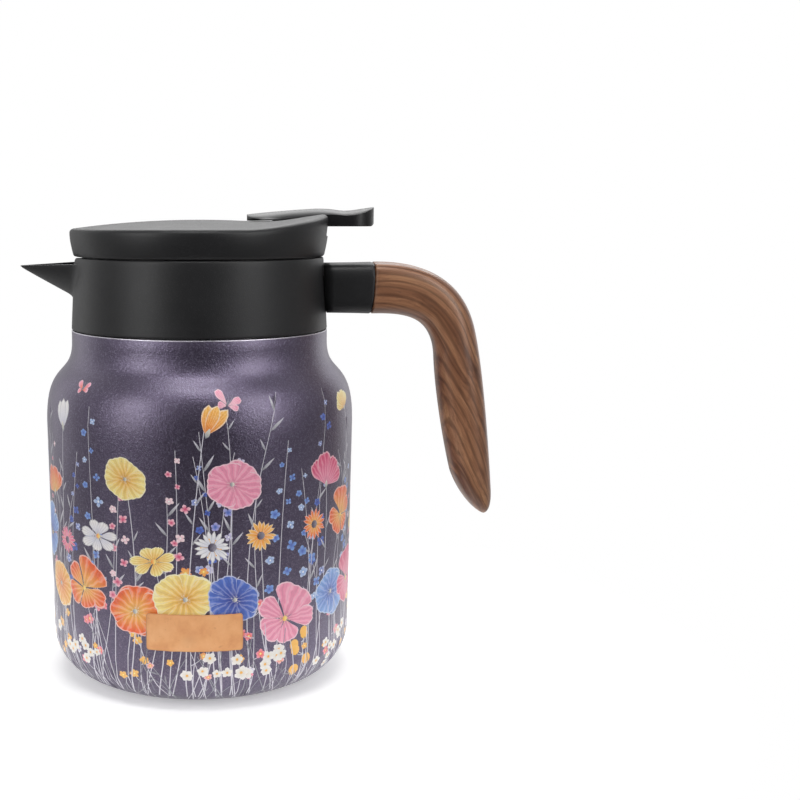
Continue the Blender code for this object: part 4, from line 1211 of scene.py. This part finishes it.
def make_lid(plastic):
    """The domed cover with its flared wall, softly rounded rim and the lever's slot."""
    count = 224

    def ring(radius, height, flare=0.0):
        points = []
        for i in range(count):
            angle = 2 * math.pi * i / count
            reach = radius + flare * tail_rise(radius * math.cos(angle))
            x, y = reach * math.cos(angle), reach * math.sin(angle)
            points.append((x, y, height(x, y)))
        return points

    def wall(radius, z, follows):
        return ring(radius, lambda x, y: z + follows * tail_rise(x), follows * LID_FLARE)

    rows = [[(0, 0, lid_top(0, 0) - LID_WALL)]]
    rows += [ring(r, lambda x, y: lid_top(x, y) - LID_WALL) for r in (8, 18, 28, 36, 42, 45.5)]
    rows.append(wall(LID_RIM_RADIUS - LID_WALL, LID_RIM_Z - 2.8, 1))
    rows += [wall(LID_BASE_RADIUS - LID_WALL, LID_BASE_Z, 0), wall(LID_BASE_RADIUS - 0.9, LID_BASE_Z, 0)]
    rows += [wall(LID_BASE_RADIUS - 0.4, LID_BASE_Z + 0.12, 0), wall(LID_BASE_RADIUS, LID_BASE_Z + 0.6, 0)]
    side_top = LID_RIM_Z - 1.3
    for i in range(1, 9):
        t = i / 8
        rows.append(wall(
            LID_BASE_RADIUS + (LID_RIM_RADIUS - LID_BASE_RADIUS) * math.sin(t * math.pi / 2),
            LID_BASE_Z + 0.6 + (side_top - LID_BASE_Z - 0.6) * t, t ** 2,
        ))
    crown_radii = (48.2, 47.0, 45.0, 42.0, 38.0, 33.5, 29.0, 24.0, 18.0, 12.0, 6.0)
    edge = 48.2
    for t in (0.25, 0.5, 0.75):
        swing = t * math.pi / 2
        radius = edge + (LID_RIM_RADIUS - edge) * math.cos(swing)
        rows.append(ring(radius, lambda x, y, s=swing: (
            side_top + tail_rise(x) + (lid_top(x, y) - side_top - tail_rise(x)) * math.sin(s)
        ), LID_FLARE * (1 - t)))
    rows += [ring(r, lid_top) for r in crown_radii]
    rows.append([(0, 0, lid_top(0, 0))])
    cover = skin("lid_shell", rows, plastic, 45)
    sides = (-SLOT_HALF_WIDTH, SLOT_HALF_WIDTH)
    return carve(cover, box_tool("slot_tool", (SLOT_FRONT_X, 64), sides, (SLOT_FLOOR_Z, 195), 1.2))


def lever_half_width(x):
    head_x = LEVER_TIP_X + HEAD_RADIUS
    tail_x = LEVER_END_X - TAIL_HALF_WIDTH
    if x <= head_x:
        return math.sqrt(max(0.0, HEAD_RADIUS ** 2 - (x - head_x) ** 2))
    if x >= tail_x:
        return math.sqrt(max(0.0, TAIL_HALF_WIDTH ** 2 - (x - tail_x) ** 2))
    share = min(1.0, (x - head_x) / 5)
    return HEAD_RADIUS + (TAIL_HALF_WIDTH - HEAD_RADIUS) * share


def lever_crest(x):
    """Height of the lever's top along its middle: a long climb, a dip for the thumb and a raised end."""
    climb = min(1.0, (x - LEVER_TIP_X) / 27)
    crown = 178.95 + 2.25 * climb * (1.35 - 0.35 * climb)
    dip = 0.85 * math.exp(-((x - 56.5) / 5) ** 2)
    return crown - dip + 0.5 * (max(0.0, x - 60) / 7) ** 2


def lever_floor(x):
    over_lid = lid_top(min(x, 28), 0) + 0.18
    share = min(1.0, max(0.0, (x - 27.9) / 6))
    return over_lid + (174.4 - over_lid) * share + 1.3 * max(0.0, (x - LEVER_END_X + 1.6) / 1.6) ** 2


def lever_drop(x):
    """How much lower the lever's top is at its sides than along its middle."""
    if x < 26:
        return 0.5 + 2.2 * ((x - LEVER_TIP_X) / (26 - LEVER_TIP_X)) ** 0.8
    return (2.8 - 1.2 * soft_step(x, 42, 54)) * min(1.0, (LEVER_END_X - x) / 5)


def make_lever(plastic):
    """The thumb lever: a crowned pad with rounded edges, over the hub and the arm that reach into the lid."""
    stations = [LEVER_TIP_X + 0.25]
    stations += [LEVER_TIP_X + HEAD_RADIUS * (1 - math.cos(math.radians(a))) for a in range(12, 91, 6)]
    stations += [31, 32.5, 34, 36, 38, 40, 42.5, 45, 47.5, 50, 52, 54, 56]
    stations += [LEVER_END_X - TAIL_HALF_WIDTH * (1 - math.sin(math.radians(a))) for a in range(0, 84, 6)]
    stations.append(LEVER_END_X - 0.15)
    across = [math.sin(math.radians(a)) for a in range(-90, 91, 12)]
    sections = []
    for x in stations:
        width, crest, floor = lever_half_width(x), lever_crest(x), lever_floor(x)
        drop = lever_drop(x)
        section = []
        for k in across[::-1]:
            z = crest - drop * k * k - 0.3 * abs(k) ** 8
            section.append((x, width * k, max(floor + 0.5, z)))
        lip = 0.94
        section += [(x, -width * (1 - (1 - lip) * 0.3), floor + 0.25), (x, -width * lip, floor)]
        section += [(x, width * lip, floor), (x, width * (1 - (1 - lip) * 0.3), floor + 0.25)]
        sections.append(section)
    lever = skin("lever_pad", sections, plastic, 40, (True, True))
    carve(lever, box_tool("web_tool", (28.6, 37.5), (-7.5, 7.5), (170.5, 178.2)), "UNION")
    pivot = (PIVOT_X, PIVOT_Z)
    carve(lever, bar_tool("hub_tool", circle(HUB_RADIUS, 40, pivot, 0.5), (-9.0, 9.0)), "UNION")
    arm = ((35.0, 172.0), (34.0, 168.0), (30.0, 167.0), (26.0, 163.9), (-0.5, 163.9), (-0.5, 166.0),
           (24.5, 166.0), (28.0, 169.0), (29.5, 172.0))
    carve(lever, bar_tool("arm_tool", arm, (-4.5, 4.5)), "UNION")
    carve(lever, box_tool("fork_tool", (-3, 4.5), (-2.6, 2.6), (160, 170)))
    return carve(lever, bar_tool("bore_tool", circle(PIN_BORE_RADIUS, 32, pivot, 0.5), (-20.0, 20.0)))


# ---------------------------------------------------------------- valve spring

def make_spring(steel):
    """The valve's compression spring, a five-turn helix drawn at one fixed length; in the lid it shortens as
    the valve lifts.
    """
    per_turn = 24
    count = SPRING_TURNS * per_turn
    sections = []
    for i in range(count + 1):
        angle = 2 * math.pi * i / per_turn
        middle_z = SPRING_Z[0] + (SPRING_Z[1] - SPRING_Z[0]) * i / count
        wire = circle(SPRING_WIRE, 10, (SPRING_RADIUS, middle_z))
        sections.append([(r * math.cos(angle), r * math.sin(angle), z) for r, z in wire])
    return skin("valve_spring_coil", sections, steel, 50, (True, True))


# ---------------------------------------------------------------- patch

def make_patch(leather):
    """The blank front patch: a thin plate with rounded, slightly uneven corners that follows the shell."""
    low_z, high_z = PATCH_Z
    dice = random.Random(3)
    rim = []
    for cx, cz, start in ((1, 1, 0), (-1, 1, 90), (-1, -1, 180), (1, -1, 270)):
        centre_u = cx * (PATCH_HALF_WIDTH - PATCH_CORNER)
        centre_z = (high_z - PATCH_CORNER) if cz > 0 else (low_z + PATCH_CORNER)
        rim += arc(centre_u, centre_z, PATCH_CORNER, start, start + 90, 4)
    fine = []
    for (u0, z0), (u1, z1) in zip(rim, rim[1:] + rim[:1]):
        steps = max(1, int(math.hypot(u1 - u0, z1 - z0) / 1.2))
        for k in range(steps):
            t = k / steps
            wobble = 0.07 * dice.uniform(-1, 1)
            fine.append((u0 + (u1 - u0) * t + wobble, z0 + (z1 - z0) * t + wobble))
    middle_z = (low_z + high_z) / 2

    def lifted(u, z, proud):
        slope = (z - SHELL_BASE_Z - CORNER_RADIUS) / (BODY_WIDEST_Z - SHELL_BASE_Z - CORNER_RADIUS)
        radius = CORNER_TOP_RADIUS + (BODY_RADIUS - CORNER_TOP_RADIUS) * slope + proud
        angle = u / CORNER_TOP_RADIUS
        return (radius * math.sin(angle), -radius * math.cos(angle), z)

    rows, edge = [], []
    for shrink, proud, worn in ((1.0, 0.3, 1.0), (1.0, 0.55, 1.0), (0.992, 0.68, 0.8), (0.97, 0.7, 0.3),
                                (0.92, 0.7, 0.0), (0.7, 0.7, 0.0), (0.4, 0.7, 0.0)):
        rows.append([lifted(u * shrink, middle_z + (z - middle_z) * shrink, proud) for u, z in fine])
        edge += [worn] * len(fine)
    rows.append([lifted(0, middle_z, 0.7)])
    edge.append(0.0)
    patch = skin("front_patch", rows, leather, 50, (True, False))
    patch.data.attributes.new("edge", "FLOAT", "POINT").data.foreach_set("value", edge)
    return patch


# ---------------------------------------------------------------- assembly

def dress_cad_nodes(finishes):
    """Gives every carried-over CAD node its detailed material in place of the plain one."""
    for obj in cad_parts.values():
        for slot in obj.material_slots:
            plain = slot.material.name.split(".")[0] if slot.material else ""
            slot.material = finishes.get(plain, finishes["matt_black_plastic"])


def set_the_stage():
    """A pale floor that glows with painted light, more weakly near the jug, and fades into the white room, and
    six soft lamps.
    """
    mesh = bpy.data.meshes.new("floor")
    corners = [(x * FLOOR_SIDE, y * FLOOR_SIDE, 0) for x, y in ((-1, -1), (1, -1), (1, 1), (-1, 1))]
    mesh.from_pydata(corners, [], [(0, 1, 2, 3)])
    floor = link_object("floor", mesh)
    n = Nodes("floor_look")
    reach = n.put("ShaderNodeVectorMath", {0: n.place()}, output=1, operation="LENGTH")
    pale = n.mix(n.noise(n.place(), 30, 3), (0.88, 0.88, 0.88), (0.92, 0.92, 0.92))
    # Painted light: the floor glows by emission though it is no lamp. It glows less near the jug, which darkens
    # the floor round the foot as painted shade.
    n.shade(Base_Color=pale, Roughness=0.9, Specular_IOR_Level=0.1, Emission_Color=(1.0, 1.0, 1.0),
            Emission_Strength=n.span(reach, *FLOOR_GLOW_REACH, *FLOOR_GLOW),
            Alpha=n.span(reach, *FLOOR_FADE, 1.0, 0.0))
    floor.data.materials.append(n.material)

    light_the_room()
    lamps = (
        ("key_left", (-510, -470, 330), 280, 560, 2.0),
        ("key_right", (510, -460, 415), 280, 620, 2.3),
        ("rim_left", (-560, 280, 240), 300, 600, 0.36),
        ("rim_right", (430, 470, 240), 300, 600, 0.4),
        ("top_back", (40, 420, 520), 700, 300, 2.0),
        ("front_high", (-20, -300, 800), 420, 170, 1.95),
    )
    for name, place, width, height, power in lamps:
        light = bpy.data.lights.new(name, "AREA")
        light.shape = "RECTANGLE"
        light.size = width * MM
        light.size_y = height * MM
        light.energy = power
        lamp = link_object(name, light)
        lamp.location = Vector(place) * MM
        aim = Vector((0, 0, 90)) * MM - lamp.location
        lamp.rotation_euler = aim.to_track_quat("-Z", "Y").to_euler()


def light_the_room():
    """The room is white behind the jug and dim in front of it; seen directly, it is plain white."""
    world = bpy.data.worlds.new("studio")
    world.use_nodes = True
    bpy.context.scene.world = world
    tree = world.node_tree
    direction = tree.nodes.new("ShaderNodeTexCoord")
    split = tree.nodes.new("ShaderNodeSeparateXYZ")
    tree.links.new(direction.outputs["Generated"], split.inputs["Vector"])
    depth = tree.nodes.new("ShaderNodeMapRange")
    depth.interpolation_type = "SMOOTHSTEP"
    tree.links.new(split.outputs["Y"], depth.inputs["Value"])
    for name, value in (("From Min", -0.7), ("From Max", 0.6), ("To Min", ROOM_FRONT), ("To Max", ROOM_BACK)):
        depth.inputs[name].default_value = value
    seen = tree.nodes.new("ShaderNodeLightPath")
    choice = tree.nodes.new("ShaderNodeMix")
    tree.links.new(seen.outputs["Is Camera Ray"], choice.inputs["Factor"])
    tree.links.new(depth.outputs["Result"], choice.inputs["A"])
    choice.inputs["B"].default_value = 1.0
    background = tree.nodes["Background"]
    background.inputs["Color"].default_value = (1.0, 1.0, 1.0, 1.0)
    tree.links.new(choice.outputs["Result"], background.inputs["Strength"])


def set_the_camera():
    data = bpy.data.cameras.new("camera")
    data.lens = CAMERA_LENS
    data.sensor_width = 36.0
    data.shift_x = CAMERA_SHIFT_X
    camera = link_object("camera", data)
    camera.location = Vector(CAMERA_PLACE) * MM
    camera.rotation_euler = (math.radians(90 - CAMERA_TILT), 0.0, 0.0)
    bpy.context.scene.camera = camera


def main():
    steel = bare_steel()
    black = moulded_plastic("matt_black_look", srgb(22, 22, 24), 0.47, 0.5)
    gloss = moulded_plastic("gloss_black_look", srgb(16, 16, 18), 0.38, 0.2)
    silicone = soft_rubber("grey_silicone_look", srgb(176, 178, 180), 0.55)
    rubber = soft_rubber("black_rubber_look", srgb(36, 36, 38), 0.75)
    paint = painted_steel()
    leather = tan_leatherette()
    wood = walnut()
    dress_cad_nodes({
        "painted_steel": paint, "brushed_steel": steel, "matt_black_plastic": black,
        "gloss_black_plastic": gloss, "grey_silicone": silicone, "black_rubber": rubber,
        "tan_leatherette": leather, "walnut": wood, "brass": turned_brass(), "seal_glass": seal_glass(),
    })
    pieces = (
        (make_flask(paint, steel), "flask", "outer_shell", "painted_steel"),
        (make_collar(black), "flask", "collar", "matt_black_plastic"),
        (make_bracket(black), "flask", "handle_bracket", "matt_black_plastic"),
        (make_grip(wood), "flask", "wood_grip", "walnut"),
        (make_patch(leather), "flask", "name_patch", "tan_leatherette"),
        (make_lid(black), "lid", "lid_cover", "matt_black_plastic"),
        (make_lever(gloss), "lever", "thumb_lever", "gloss_black_plastic"),
    )
    for piece, body, node, slot in pieces:
        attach(piece, body)
        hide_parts(node)
    spring = make_spring(steel)
    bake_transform(spring)
    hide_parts("valve_spring")
    set_the_stage()
    set_the_camera()
    bpy.context.scene.view_settings.view_transform = "Standard"


main()
